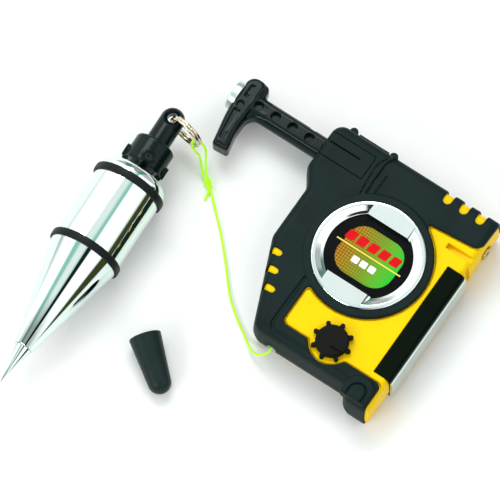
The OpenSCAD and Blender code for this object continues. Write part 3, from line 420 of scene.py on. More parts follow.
LINE_R = 0.6
KNOT_AT = np.array((-91, -5.5, 1.8))
KNOT_YAW = math.radians(143)
KNOT_DIR = np.array((math.cos(KNOT_YAW), math.sin(KNOT_YAW), 0))
KNOT_SIDE = np.array((-KNOT_DIR[1], KNOT_DIR[0], 0))
KNOT_HALF = 2.2
ROUTE = np.array([
    (-15.6, -62.3, 10), (-15.6, -63.8, 10), (-17, -66, 9.2), (-20, -67.2, 7), (-24, -66.4, 4),
    (-28.5, -63.6, 1.6), (-33.5, -60, 0.7), (-41, -55, 0.7), (-50, -47.5, 0.7), (-60, -36, 0.7),
    (-71, -24, 0.7), (-80, -15.4, 0.8), (-85.5, -10.2, 1.3), KNOT_AT - (KNOT_HALF + 1.4) * KNOT_DIR,
    KNOT_AT - (KNOT_HALF + 0.3) * KNOT_DIR])
BUMPER_R = 19.4
RING_R = 9
RING_YAW = math.radians(-10)
RING_OUT = np.array((math.cos(RING_YAW), math.sin(RING_YAW), 0))
RING_SIDE = np.array((-math.sin(RING_YAW), math.cos(RING_YAW), 0))
UP = np.array((0, 0, 1))
BOB_HOLE = np.array((-121, 7.5, BUMPER_R))
RING_AT = BOB_HOLE + RING_R * RING_OUT


def add_line():
    loop_in = RING_AT + 5.4 * RING_OUT - 4 * UP
    loop_mid = RING_AT + 8.4 * RING_OUT - 6.2 * UP
    loop_out = RING_AT + 11.4 * RING_OUT - 9.6 * UP
    face = KNOT_AT + (KNOT_HALF + 0.3) * KNOT_DIR
    rise = face + 3.5 * KNOT_DIR + 0.6 * UP
    way = (rise + loop_out) / 2 - 0.8 * UP
    strand = 0.8 * KNOT_SIDE
    loop_route = [
        face + strand, rise + strand, way - 1.5 * RING_SIDE, loop_out - 2.2 * RING_SIDE,
        loop_mid - 2.6 * RING_SIDE, loop_in - 1.5 * RING_SIDE, loop_in + 1.5 * RING_SIDE,
        loop_mid + 2.6 * RING_SIDE, loop_out + 2.2 * RING_SIDE, way + 1.5 * RING_SIDE,
        rise - strand, face - strand]
    loop = piece("line_bight", *tube(spline(loop_route, 8), LINE_R), LIME, "ring", "line_lime", ["line_loop"])
    # Overhand knot round both strands, with the cut tail beside the standing line
    turns = np.linspace(0, 2 * np.pi, 73)[:-1]
    wrap = [KNOT_AT + 1.15 * ((np.sin(t) + 2 * np.sin(2 * t)) * 0.42 * KNOT_SIDE
                              + (np.cos(t) - 2 * np.cos(2 * t)) * 0.95 * KNOT_DIR - np.sin(3 * t) * 0.75 * UP)
            for t in np.append(turns, turns[:2])]
    knot = piece("line_hitch", *tube(wrap, LINE_R), LIME, "ring", "line_lime", ["line_knot"])
    tail_route = [KNOT_AT - 0.5 * KNOT_DIR, KNOT_AT - 3 * KNOT_DIR + 1.0 * KNOT_SIDE - 0.4 * UP,
                  KNOT_AT - 5.2 * KNOT_DIR + 2.6 * KNOT_SIDE - 1.1 * UP,
                  KNOT_AT - 7 * KNOT_DIR + 4.4 * KNOT_SIDE - 1.2 * UP]
    tail = piece("line_tail", *tube(spline(tail_route, 8), LINE_R), LIME, "ring", "line_lime")
    path = spline(ROUTE, 10)
    line = piece("free_line", *tube(path, LINE_R), LIME, None, "line_lime", ["line_run"])
    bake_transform(line)


add_line()


# Case: outline at the parting plane and the sections of its skins and mouldings

CASE_T = 26
SPLIT_Z = 11
PARTING = 0.02
SKIN = 1.2
FACE_Z = CASE_T - SKIN
BASE_X = 46
MOUTH_X = 52.5
LEFT_X = -46.3
TOP_Y = 52
BOTTOM_Y = 61.7
FOOT_DROP = 6.6
OUTLINE = rounded([
    (BASE_X, -BOTTOM_Y - FOOT_DROP, 3), (BASE_X, TOP_Y, 3.5), (-MOUTH_X, TOP_Y, 7), (-MOUTH_X, 24, 4),
    (LEFT_X, 14.3, 7), (LEFT_X, -16, 7), (-27.4, -BOTTOM_Y, 6.5), (26.5, -BOTTOM_Y, 4),
    (30.5, -BOTTOM_Y - FOOT_DROP, 5)])
WINDOW = rounded([
    (-16.3, -52, 3.5), (BASE_X - 3.5, -52, 3), (BASE_X - 3.5, -75, 0.2), (BASE_X + 9, -75, 0.2),
    (BASE_X + 9, TOP_Y + 9, 0.2), (BASE_X - 1.6, TOP_Y + 9, 0.2), (BASE_X - 2.4, 33, 5), (15.5, 30.6, 1.5),
    (15.5, 0, 1), (-16.3, -22, 1)])
DEEP = -70
# A height inside the front's walls, one above the whole part, and a reach past every side wall
WALL_Z = 20
ABOVE = 40
BEYOND = 60
KNOB_AT = (10.1, -47)
KNOB_FIELD_R = 11.7
BEZEL_R = 28.4
RIM_R = 32.45
NOTCH_XS = (15.9, 25.4, 34.9)
NOTCH_W = 4.6
NOTCH_Y = 43.9
SLOTS = ((-38.8, -23), (-35.1, -31.8), (-31.1, -40.7))
SLOT_LEN = 6.1
SLOT_W = 3.5
PLUNGER_Y = 37.6
PLUNGER_Z = 13
ROD_R = 6.1
SLIP = 0.3
EXIT_X = -15.6
EXIT_R = 2.65
LINE_Z = 10
BAR_X = (-40.5, -22.5)
BAR_Z = (7.7, 18.3)
PAWL_X = -31.5
TRAVEL = 30
CHANNEL_END = 40
COVER = ((-50.5, 31.6), (-25.5, 44.9))
LUG_XS = (-43.4, -19.8)
LUG_R = 2.2
LUG_TOP = 19
DIAL_SEAT_Z = 15
MAGNET_POCKET = ((35.2, -48, 3.8), (BEYOND, 17.6, ABOVE))
KEYWAY_X = BASE_X - 3
KEYWAY_Y = (19.9, 22.6)
NEEDLE_BORE_R = 3.9
NOSE_X = BASE_X - 17.4
NOSE_Y = (25.2, 28.3)
NOSE_DROP = 3.4
NOSE_SLOPE = 0.12
SLIT_Y = (39.2, 40)
SLIT_DEPTH = 1.4
SLIT_STOP = 6
EDGE_BOSS = SKIN + 2.2 + 3
SCREWS = ((LEFT_X + EDGE_BOSS, 2), (-26.6, -46.9), (26, -BOTTOM_Y + EDGE_BOSS + 1.3),
          (12, TOP_Y - EDGE_BOSS), (BASE_X - EDGE_BOSS, TOP_Y - EDGE_BOSS))
SCREW_SINK = 1.8
SCREW_SINK_R = 2.95
POCKET_LOW = 18
BACK_WALL = 2.4


def section(profile):
    """A closed section in the plane of outline distance and height, from (inset, height) points."""
    edge = spline([(-inset, height) for inset, height in profile], 4)
    return np.concatenate([edge, [(DEEP, profile[-1][1]), (DEEP, profile[0][1])]])


FRONT_SKIN = section([(0, SPLIT_Z), (0.2, 16), (0.5, CASE_T - 6), (1, CASE_T - 3.4), (2, CASE_T - 1.6),
                      (3.4, CASE_T - 0.5), (5.2, CASE_T)])
REAR_SKIN = section([(0, SPLIT_Z), (0.9, 5), (1.5, 2.4), (2.4, 1.6)])
FRONT_MOULD = section([(SKIN, SPLIT_Z), (SKIN + 0.5, FACE_Z - 5), (SKIN + 1, FACE_Z - 2.6),
                       (SKIN + 2, FACE_Z - 1), (SKIN + 3.4, FACE_Z)])
REAR_MOULD = section([(SKIN, SPLIT_Z), (SKIN + 0.9, 5), (SKIN + 2.2, 0.8), (SKIN + 3.2, 0)])
RIM = rounded([(27, WALL_Z, 0.1), (RIM_R, WALL_Z, 0.1), (RIM_R, CASE_T + 0.8, 1), (27, CASE_T + 0.8, 0.3)])
STRAP_LEFT = spline([(-21.4, 24.3), (-22.7, 40.2), (-20.5, 46.9), (-19, 50.4)], 6)
STRAP_RIGHT = spline([(-19.1, 25.9), (-19.4, 42.1), (-18.4, 47.2), (-16, 50.4)], 6)
STRAP = np.concatenate([STRAP_LEFT, STRAP_RIGHT[::-1]])
STRAP_SEAM = [(-15.6, 28.6), (-15.4, 39.5)]
CREASE = rounded([(-19.2, -16, 0), (-20, -54.4, 6), (-12, -66, 0)], closed=False)
FOOT_PAD = rounded([(26.8, -66.2, 1.5), (26.8, -53.6, 7), (41.6, -53.6, 5), (41.6, -66.2, 1.5)])
FOOT_ARCH = rounded([(30.4, -65, 0), (30.4, -57.4, 4.5), (38.8, -57.4, 4), (38.8, -65, 0)], closed=False)


def swept(x, y, z, side):
    """A section carried round the case's outline."""
    return polygon_distance(polygon_distance(x, y, OUTLINE), z, side)


def window(x, y):
    """Flat outline of the front skin's yellow field and the knob's round recess, as a distance."""
    gap = cut(polygon_distance(x, y, WINDOW), np.hypot(x, y) - RIM_R, 3)
    return join(gap, np.hypot(x - KNOB_AT[0], y - KNOB_AT[1]) - KNOB_FIELD_R, 1.2)


def opening(x, y):
    """All that the front skin leaves open: the window, the notches on top and the slots on the left."""
    gap = window(x, y)
    for nx in NOTCH_XS:
        end = NOTCH_Y + NOTCH_W / 2
        gap = np.minimum(gap, np.hypot(x - nx, np.minimum(y - end, 0)) - NOTCH_W / 2)
    for sx, sy in SLOTS:
        inner = sx + (SLOT_LEN - SLOT_W) / 2
        round_end = np.hypot(np.maximum(x - inner, 0), y - sy) - SLOT_W / 2
        gap = np.minimum(gap, np.maximum(round_end, sx - SLOT_LEN / 2 - x))
    return gap


def edge_cuts(x, y, z):
    """Line exit, plunger mouth and lock bar, which go through skin and moulding alike."""
    mouth = rod(np.hypot(y - PLUNGER_Y, z - PLUNGER_Z), x, -BEYOND, CHANNEL_END, ROD_R + SLIP)
    exit_hole = rod(np.hypot(x - EXIT_X, z - LINE_Z), y, -75, -50, EXIT_R)
    bar = brick(x, y, z, (BAR_X[0], 44, BAR_Z[0]), (BAR_X[1], BEYOND, BAR_Z[1]), 0.2)
    slot = brick(x, y, z, (PAWL_X - 2, 40, BAR_Z[0]), (PAWL_X + 2, 46, BAR_Z[1]), 0.2)
    return np.minimum(np.minimum(mouth, exit_hole), np.minimum(bar, slot))


def front_skin(x, y, z):
    def groove(path, half, depth, radius):
        return plate(path_distance(x, y, path) - half, z, CASE_T - depth, ABOVE, radius)

    body = swept(x, y, z, FRONT_SKIN)
    body = join(body, plate(polygon_distance(x, y, STRAP), z, WALL_Z, CASE_T + 0.5, 0.4), 0.5)
    body = cut(body, groove(STRAP_LEFT, 0.25, 0.5, 0.1), 0.5)
    body = cut(body, groove(STRAP_RIGHT, 0.25, 0.5, 0.1), 0.5)
    body = cut(body, groove(STRAP_SEAM, 0.3, 0.6, 0.1), 0.4)
    body = cut(body, groove(CREASE, 0.75, 0.8, 0.2), 0.6)
    body = join(body, plate(polygon_distance(x, y, FOOT_PAD), z, WALL_Z, CASE_T + 0.9, 0.8), 0.8)
    body = cut(body, groove(FOOT_ARCH, 0.45, 0.2, 0.2), 0.5)
    body = join(body, polygon_distance(np.hypot(x, y), z, RIM), 0.8)
    body = cut(body, opening(x, y), 0.5)
    for lx in LUG_XS:
        body = join(body, rod(np.hypot(x - lx, y - TOP_Y - 0.4), z, SPLIT_Z, LUG_TOP, LUG_R, 0.4), 0.6)
    body = cut(body, edge_cuts(x, y, z), 0.3)
    body = cut(body, rod(np.hypot(x, y), z, DIAL_SEAT_Z, ABOVE, BEZEL_R), 0.3)
    (x0, y0), (x1, y1) = COVER
    return cut(body, brick(x, y, z, (x0 - 0.2, y0 - 0.2, POCKET_LOW), (x1 + 0.2, y1 + 0.2, ABOVE), 0.3), 0.2)


def cover_panel(x, y, z):
    (x0, y0), (x1, y1) = COVER
    body = np.maximum(swept(x, y, z, FRONT_SKIN), brick(x, y, z, (x0, y0, WALL_Z), (x1, y1, ABOVE), 0.3))
    slit = brick(x, y, z, (x0 - 1, SLIT_Y[0], CASE_T - SLIT_DEPTH), (x1 - SLIT_STOP, SLIT_Y[1], ABOVE), 0.1)
    return cut(body, slit, 0.2)


def keyway(x, y, z, low):
    return brick(x, y, z, (KEYWAY_X, KEYWAY_Y[0], low), (BEYOND, KEYWAY_Y[1], ABOVE), 0.2)


def needle_bore(x, y, z):
    return rod(np.hypot(y - PLUNGER_Y, z - PLUNGER_Z), x, CHANNEL_END - 1, BEYOND, NEEDLE_BORE_R)


def front_mould(x, y, z):
    body = swept(x, y, z, FRONT_MOULD)
    body = cut(body, plate(np.abs(window(x, y) + 0.3) - 0.45, z, FACE_Z - 1.1, ABOVE, 0.1), 0.2)
    body = cut(body, rod(np.hypot(x, y), z, DIAL_SEAT_Z, ABOVE, BEZEL_R - 0.4), 0.2)
    body = cut(body, brick(x, y, z, *MAGNET_POCKET, 0.1), 0.3)
    nose = brick(x, y, z, (NOSE_X, NOSE_Y[0], POCKET_LOW), (BEYOND, NOSE_Y[1], ABOVE), 0.2)
    ramp = FACE_Z - NOSE_DROP + NOSE_SLOPE * (x - NOSE_X)
    body = cut(body, np.maximum(nose, ramp - z), 0.3)
    body = cut(body, keyway(x, y, z, 0), 0.3)
    body = cut(body, needle_bore(x, y, z), 0.2)
    return cut(body, edge_cuts(x, y, z), 0.2)


def rear_skin(x, y, z):
    body = swept(x, y, z, REAR_SKIN)
    body = cut(body, brick(x, y, z, (BASE_X - 3.5, -90, -5), (BEYOND, 90, ABOVE), 0.2), 0.4)
    return cut(body, edge_cuts(x, y, z), 0.3)


def rear_mould(x, y, z):
    body = swept(x, y, z, REAR_MOULD)
    body = cut(body, brick(x, y, z, *MAGNET_POCKET, 0.1), 0.3)
    body = cut(body, keyway(x, y, z, 3), 0.3)
    body = cut(body, needle_bore(x, y, z), 0.2)
    for sx, sy in SCREWS:
        body = cut(body, rod(np.hypot(x - sx, y - sy), z, -5, SCREW_SINK, SCREW_SINK_R), 0.3)
    return cut(body, edge_cuts(x, y, z), 0.2)


def add_case():
    low, high = (-MOUTH_X - 1, -BOTTOM_Y - FOOT_DROP - 1, SPLIT_Z), (BASE_X + 1, TOP_Y + 3, CASE_T + 2)
    carved_piece("grip_front", front_skin, low, high, 0.5, GRIP, "case", "grip_elastomer", ["front_grip"],
                 hidden=lambda x, y, z: (z < SPLIT_Z + PARTING) | (swept(x, y, z, FRONT_MOULD) < -0.7))
    carved_piece("mould_front", front_mould, low, high, 0.5, YELLOW, "case", "yellow_shell", ["front_shell"],
                 hidden=lambda x, y, z: ((z < SPLIT_Z + PARTING)
                                         | ((opening(x, y) > 1.5) & (x < BASE_X - 1.5))))
    low, high = (low[0], low[1], -1), (high[0], high[1], SPLIT_Z)
    carved_piece("grip_rear", rear_skin, low, high, 0.6, GRIP, "case", "grip_elastomer", ["rear_grip"],
                 hidden=lambda x, y, z: z > SPLIT_Z - PARTING)
    carved_piece("mould_rear", rear_mould, low, high, 0.6, YELLOW, "case", "yellow_shell", ["rear_shell"],
                 hidden=lambda x, y, z: (z > SPLIT_Z - PARTING) | ((z > BACK_WALL) & (x < BASE_X - 5)))
    (x0, y0), (x1, y1) = COVER
    carved_piece("detent_panel", cover_panel, (x0, y0, 21), (x1, y1, CASE_T), 0.35, GRIP, "case",
                 "grip_elastomer", ["channel_cover"], hidden=lambda x, y, z: z < 22)


add_case()


# Dial: chrome bezel with two chord bars, and the printed plate under it

BEZEL_IN = 22
BEZEL_TOP = CASE_T + 1.6
CHORD_Y = 17.3
BAR_ENDS = (-12.6, 12.8)
BAR_TOP_ENDS = (-12.2, 11.1)
BAR_R = 27.2
LABEL_Z = FACE_Z - 0.2


def printed(name, corners, colours, height, weave=False):
    """A thin layer of ink on the dial's plate, its colour running along X through the given colours.
    A woven one has a fine diamond screen that fades towards the right."""
    material = surface(name, colours[0], colours[-1], (0.14, 0.22), 1000, 0.000001, Specular_IOR_Level=0.06)
    links = material.node_tree.links
    place = add_node(material, "ShaderNodeTexCoord").outputs["Object"]
    apart = add_node(material, "ShaderNodeSeparateXYZ")
    links.new(place, apart.inputs["Vector"])
    run = remap(material, apart.outputs["X"], 0, 1, -0.016, 0.016)
    stops = [(i / max(len(colours) - 1, 1), c) for i, c in enumerate(colours)]
    shader = material.node_tree.nodes["Principled BSDF"]
    ink = ramp_node(material, run, stops)
    if weave:
        turned = add_node(material, "ShaderNodeMapping", Rotation=(0, 0, math.radians(45)))
        links.new(place, turned.inputs["Vector"])
        screen = add_node(material, "ShaderNodeTexChecker", Scale=950)
        links.new(turned.outputs["Vector"], screen.inputs["Vector"])
        mix = add_node(material, "ShaderNodeMixRGB", blend_type="MULTIPLY")
        links.new(remap(material, run, 0.9, 0.1, 0, 0.8), mix.inputs["Fac"])
        links.new(ink, mix.inputs["Color1"])
        links.new(ramp_node(material, screen.outputs["Fac"], [(0, (0.3, 0.3, 0.3)), (1, (1, 1, 1))]),
                  mix.inputs["Color2"])
        ink = mix.outputs["Color"]
    links.new(ink, shader.inputs["Base Color"])
    outline = rounded(corners)
    n = len(outline)
    points = [(*p, LABEL_Z) for p in outline] + [(*p, LABEL_Z + height) for p in outline]
    faces = [tuple(range(n, 2 * n))] + bands(2, n)
    return piece(name, points, faces, material, "case", "label")


def bar_outline(left, right, chord, r):
    """One chord bar's flat outline: along the chord, then back along an arc of the ring."""
    ends = [math.atan2(math.sqrt(r * r - x * x), x) for x in (right, left)]
    arc = [(r * math.cos(t), r * math.sin(t)) for t in np.linspace(*ends, 25)]
    return [(left, chord), (right, chord)] + arc


def add_dial():
    low = FACE_Z - 1.4
    ring = rounded([
        (BEZEL_IN, low, 0), (BEZEL_R, low, 0.2), (BEZEL_R, BEZEL_TOP, 0.9),
        (BEZEL_R - 2.2, BEZEL_TOP + 0.05, 0.8), (BEZEL_IN + 1.6, BEZEL_TOP - 1.5, 1),
        (BEZEL_IN, BEZEL_TOP - 2, 0.5), (BEZEL_IN, low, 0)], closed=False)
    piece("dial_bezel", *lathe(ring, Matrix(), 192), DIAL_CHROME, "case", "bright_chrome", ["bezel_ring"])
    top = BEZEL_TOP + 0.15
    foot = bar_outline(*BAR_ENDS, CHORD_Y, BAR_R)
    rings = [foot, foot, bar_outline(*BAR_TOP_ENDS, CHORD_Y + 0.4, BAR_R - 0.2)]
    n = len(foot)
    faces = [tuple(range(2 * n, 3 * n))]
    faces += bands(3, n)
    for name, hand in (("dial_bar_upper", 1), ("dial_bar_lower", -1)):
        points = [(x, hand * y, z) for flat, z in zip(rings, (low, top - 1.9, top)) for x, y in flat]
        piece(name, points, [f[::hand] for f in faces], DIAL_CHROME, "case", "bright_chrome", sharp=20)
    reach = math.sqrt(BEZEL_IN ** 2 - CHORD_Y ** 2)
    half = math.degrees(math.atan2(CHORD_Y, reach))
    disc = [(BEZEL_IN * math.cos(math.radians(a)), BEZEL_IN * math.sin(math.radians(a)))
            for side in (0, 180) for a in np.linspace(side - half, side + half, 40)]
    n = len(disc)
    points = [(*p, LABEL_Z - 1) for p in disc] + [(*p, LABEL_Z) for p in disc]
    faces = [tuple(range(n))[::-1], tuple(range(n, 2 * n))]
    faces += bands(2, n)
    piece("dial_plate", points, faces, LABEL, "case", "label", ["label_plate"])
    amber, olive, green = (0.5, 0.2, 0.015), (0.22, 0.28, 0.02), (0.02, 0.5, 0.03)
    printed("dial_field", [(-16.5, -13.5, 10), (16, -13.5, 10), (16.5, 13.5, 9), (-14, 13.5, 9)],
            [amber, olive, green], 0.03, weave=True)
    red, pale, straw = (0.62, 0.006, 0.008), (0.85, 0.85, 0.82), (0.75, 0.7, 0.1)
    for i, x in enumerate((-16, -9.6, -3.2, 3.2, 9.6)):
        printed(f"dial_block_{i}", [(x, 2.4, 0.7), (x + 5, 2.4, 0.7), (x + 6, 7.6, 0.7), (x + 1, 7.6, 0.7)],
                [red, red], 0.06)
    printed("dial_rule", [(-18.6, -0.2, 0.1), (18.6, -0.2, 0.1), (18.6, 0.5, 0.1), (-18.6, 0.5, 0.1)],
            [straw, straw], 0.06)
    for i, x in enumerate((-6.4, -1.6, 3.2)):
        printed(f"dial_dash_{i}", [(x, -6.6, 0.6), (x + 3.8, -6.6, 0.6), (x + 3.8, -3, 0.6), (x, -3, 0.6)],
                [pale, pale], 0.06)


add_dial()


# Plunger: rod with its flat and index holes, T handle and striking cap

ROD_FLAT = 5.1
ROD_BACK = -94
ROD_END = 8
HANDLE_T = 12.4
HANDLE_TOP = PLUNGER_Z + HANDLE_T / 2
HANDLE = rounded([
    (-91.6, 49.6, 4.2), (-102.2, 49.6, 5), (-102.8, 30, 60), (-98.6, 8.6, 1.6), (-89.6, 9.2, 1.6),
    (-92.2, 21, 20)])
HANDLE_SIDE = section([(0, PLUNGER_Z), (0, HANDLE_TOP - 3), (0.3, HANDLE_TOP - 1.4), (1.1, HANDLE_TOP - 0.4),
                       (2.2, HANDLE_TOP)])
WEB_LOW = rounded([
    (-97, 17, 0.6), (-92, 17, 0.6), (-91.6, PLUNGER_Y - ROD_R + 1.2, 6.5),
    (-84, PLUNGER_Y - ROD_R + 1.2, 0.6), (-84, PLUNGER_Y - 1, 0.6), (-97, PLUNGER_Y - 1, 0.6)])
WEB_HIGH = rounded([
    (-97, PLUNGER_Y + 1, 0.6), (-85.5, PLUNGER_Y + 1, 0.6), (-85.5, PLUNGER_Y + ROD_R - 1.2, 0.6),
    (-90, PLUNGER_Y + ROD_R - 1.2, 3), (-90.6, 49.2, 3.2), (-97, 49.2, 0.6)])
WEB_HALF = 4.3
LONG_POCKET = rounded([(-99.6, 30, 0.6), (-97.4, 12.8, 1), (-94.6, 13.2, 1), (-96.2, 30, 0.6)])
POCKET_X = -98
POCKET_Y = (37.9, 44.9)
POCKET_HALF = 0.95
POCKET_DEPTH = 1.6
DIMPLE_Y = 33
DIMPLE_R = 1.9
HOLES = tuple(-90 + 10 * i for i in range(9))
HOLE_R = 2.4
NOTCH_DEPTH = 2.3
BOSS_X = -102.9
BOSS_END = -96
BOSS_R = 5.2
STRIKE_R = 8
STRIKE_T = 2.3
CROWN = 0.8
SEAT = 1.6


def plunger(x, y, z):
    across = np.hypot(y - PLUNGER_Y, z - PLUNGER_Z)
    shaft = rod(across, x, ROD_BACK, ROD_END, ROD_R, 0.2)
    shaft = cut(shaft, brick(x, y, z, (ROD_BACK, 0, PLUNGER_Z + ROD_FLAT), (20, BEYOND, ABOVE), 0.2), 0.4)
    up = PLUNGER_Z + np.abs(z - PLUNGER_Z)
    handle = polygon_distance(polygon_distance(x, y, HANDLE), up, HANDLE_SIDE)
    deep = (HANDLE_TOP - POCKET_DEPTH, ABOVE)
    short_pocket = brick(x, y, z, (POCKET_X - POCKET_HALF, POCKET_Y[0], deep[0]),
                         (POCKET_X + POCKET_HALF, POCKET_Y[1], deep[1]), 0.2)
    handle = cut(handle, short_pocket, 0.4)
    handle = cut(handle, rod(np.hypot(x - POCKET_X, y - DIMPLE_Y), z, *deep, DIMPLE_R), 0.4)
    handle = cut(handle, plate(polygon_distance(x, y, LONG_POCKET), z, *deep, 0.2), 0.5)
    webs = np.minimum(polygon_distance(x, y, WEB_LOW), polygon_distance(x, y, WEB_HIGH))
    webs = plate(webs, z, PLUNGER_Z - WEB_HALF, PLUNGER_Z + WEB_HALF, 1.4)
    body = join(join(shaft, webs, 1.2), handle, 0.8)
    body = join(body, rod(across, x, BOSS_X, BOSS_END, BOSS_R), 0.5)
    for hx in HOLES:
        body = cut(body, rod(np.hypot(x - hx, y - PLUNGER_Y), z, PLUNGER_Z + 2.4, ABOVE, HOLE_R, 0.1), 0.3)
    for px in (PAWL_X, PAWL_X - TRAVEL):
        notch = brick(x, y, z, (px - 1.8, PLUNGER_Y + ROD_R - NOTCH_DEPTH, PLUNGER_Z - 3.3),
                      (px + 1.8, BEYOND, PLUNGER_Z + 3.3), 0.1)
        body = cut(body, notch, 0.2)
    return body


def add_plunger():
    carved_piece("drive_plunger", plunger, (-104, 7, 6), (9, 51, 20), 0.45, BLACK, "plunger", "black_plastic",
                 ["plunger_arm"])
    back = Matrix.Translation((BOSS_X, PLUNGER_Y, PLUNGER_Z)) @ Matrix.Rotation(math.radians(-90), 4, "Y")
    cap = rounded([(0.05, -SEAT, 0), (STRIKE_R, -SEAT, 0.3), (STRIKE_R - 0.2, STRIKE_T + CROWN / 2, 1.2),
                   (0.05, STRIKE_T + CROWN, 0)], closed=False)
    piece("hammer_cap", *lathe(cap, back, 96), SATIN, "plunger", "bright_chrome", ["striking_cap"])


add_plunger()


# The lock bar's return spring, a fixed coil that fills the CAD spring's box

COIL_R = 1.5
COIL_WIRE = 0.3
COIL_TURNS = 4


def add_return_spring():
    low, high = (np.array(corner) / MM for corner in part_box("release_spring"))
    middle = (low + high) / 2
    share = np.linspace(0, 1, 24 * COIL_TURNS + 1)
    angle = 2 * np.pi * COIL_TURNS * share
    rise = low[1] + COIL_WIRE + (high[1] - low[1] - 2 * COIL_WIRE) * share
    path = np.stack([middle[0] + COIL_R * np.cos(angle), rise, middle[2] + COIL_R * np.sin(angle)], 1)
    coil = piece("return_coil", *tube(path, COIL_WIRE, 8), STEEL, None, "bare_steel", ["release_spring"])
    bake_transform(coil)


add_return_spring()


# Brake knob with its lobes and the offset groove

KNOB_R = 8.4
KNOB_LOW = FACE_Z + 0.3
KNOB_TOP = FACE_Z + 3.8
LOBES = 8
LOBE_IN = 6
LOBE_OUT = 9.5
KNOB_GROOVE = [(1.6, -3.2), (7.6, -3)]


def knob(x, y, z):
    u, v = x - KNOB_AT[0], y - KNOB_AT[1]
    body = rod(np.hypot(u, v), z, KNOB_LOW, KNOB_TOP, KNOB_R, 1)
    for i in range(LOBES):
        a = math.radians(360 * i / LOBES)
        c, s = math.cos(a), math.sin(a)
        lobe = path_distance(u, v, [(LOBE_IN * c, LOBE_IN * s), (LOBE_OUT * c, LOBE_OUT * s)])
        body = join(body, rod(lobe, z, KNOB_LOW, KNOB_TOP - 0.7, 1.15, 0.5), 0.6)
    return cut(body, plate(path_distance(u, v, KNOB_GROOVE) - 0.4, z, KNOB_TOP - 0.7, ABOVE, 0.1), 0.3)


def add_knob():
    (x, y), reach = KNOB_AT, LOBE_OUT + 1.5
    carved_piece("brake_dial", knob, (x - reach, y - reach, KNOB_LOW), (x + reach, y + reach, KNOB_TOP), 0.25,
                 KNOB_BROWN, "brake_knob", "black_plastic", ["brake_knob"])


add_knob()


# Plumb bob: drawn upright from its point, then laid along the floor

BOB_YAW = math.radians(2.5)
BOB_R = 18.1
TIP_LEN = 21
CONE_LEN = 78.5
SHOULDER_A = CONE_LEN + 43
HEAD_A = SHOULDER_A + 9
COLLAR_R = 10.5
COLLAR_A = HEAD_A + 14.8
NECK_R = 6.25
NECK_END = COLLAR_A + 21.3
EYE_A = NECK_END - NECK_R
HOLE_A = EYE_A + 0.4
SHANK_R = 4
# The eye is straight in the middle and flares outwards; the steepness keeps its field a true distance
EYE_R = 2.6
EYE_STRAIGHT = 2.4
EYE_FLARE = 0.62
EYE_STEEP = 1.18
BUMPER_W = 4.1
PLUG_TURN = 11
PLUG_RISE = 4.2
PLUG_BOSS_R = 3.3
PLUG_HOLE_R = 2.05
BUMPERS = {"lower_bumper": CONE_LEN + 0.2, "upper_bumper": SHOULDER_A - 2.6}
BOB_PLACE = (Matrix.Translation(BOB_HOLE.tolist()) @ Matrix.Rotation(BOB_YAW, 4, "Z")
             @ Matrix.Rotation(math.radians(-90), 4, "X") @ Matrix.Translation((0, 0, -HOLE_A)))
BOB_TURN = np.array(BOB_PLACE.to_3x3())
BOB_AT = np.array(BOB_PLACE.translation)


def in_bob(field):
    """The same field with its own upright frame laid where the bob lies."""
    def laid(x, y, z):
        x, y, z = x - BOB_AT[0], y - BOB_AT[1], z - BOB_AT[2]
        return field(*(BOB_TURN[0, i] * x + BOB_TURN[1, i] * y + BOB_TURN[2, i] * z for i in range(3)))
    return laid


def bob_box(a0, a1, r):
    corners = np.array([(x, y, a) for x in (-r, r) for y in (-r, r) for a in (a0, a1)]) @ BOB_TURN.T + BOB_AT
    return corners.min(0), corners.max(0)


def collar(x, y, a):
    r = np.hypot(x, y)
    body = rod(r, a, HEAD_A, COLLAR_A, COLLAR_R, 1.6)
    for turn in (PLUG_TURN, PLUG_TURN - 90):
        t = math.radians(turn)
        along, beside = x * math.cos(t) + y * math.sin(t), y * math.cos(t) - x * math.sin(t)
        across = np.hypot(beside, a - HEAD_A - PLUG_RISE)
        body = join(body, rod(across, along, -COLLAR_R - 1.5, COLLAR_R + 1.5, PLUG_BOSS_R, 0.5), 0.6)
        for hand in (-1, 1):
            body = cut(body, rod(across, hand * along, COLLAR_R - 1.4, 30, PLUG_HOLE_R, 0.1), 0.3)
    return cut(body, rod(r, a, HEAD_A - 9, COLLAR_A + 9, SHANK_R + 0.2, 0.1), 0.3)


def neck(x, y, a):
    r = np.hypot(x, y)
    body = np.where(a > EYE_A, np.sqrt(r * r + (a - EYE_A) ** 2) - NECK_R, r - NECK_R)
    body = np.maximum(body, COLLAR_A + 0.3 - a)
    body = join(body, rod(r, a, HEAD_A, COLLAR_A + 1, SHANK_R), 0.3)
    eye = np.hypot(x, a - HOLE_A)
    flare = EYE_FLARE * np.maximum(np.abs(y) - EYE_STRAIGHT, 0)
    return cut(body, (eye - EYE_R - flare) / EYE_STEEP, 0.7)


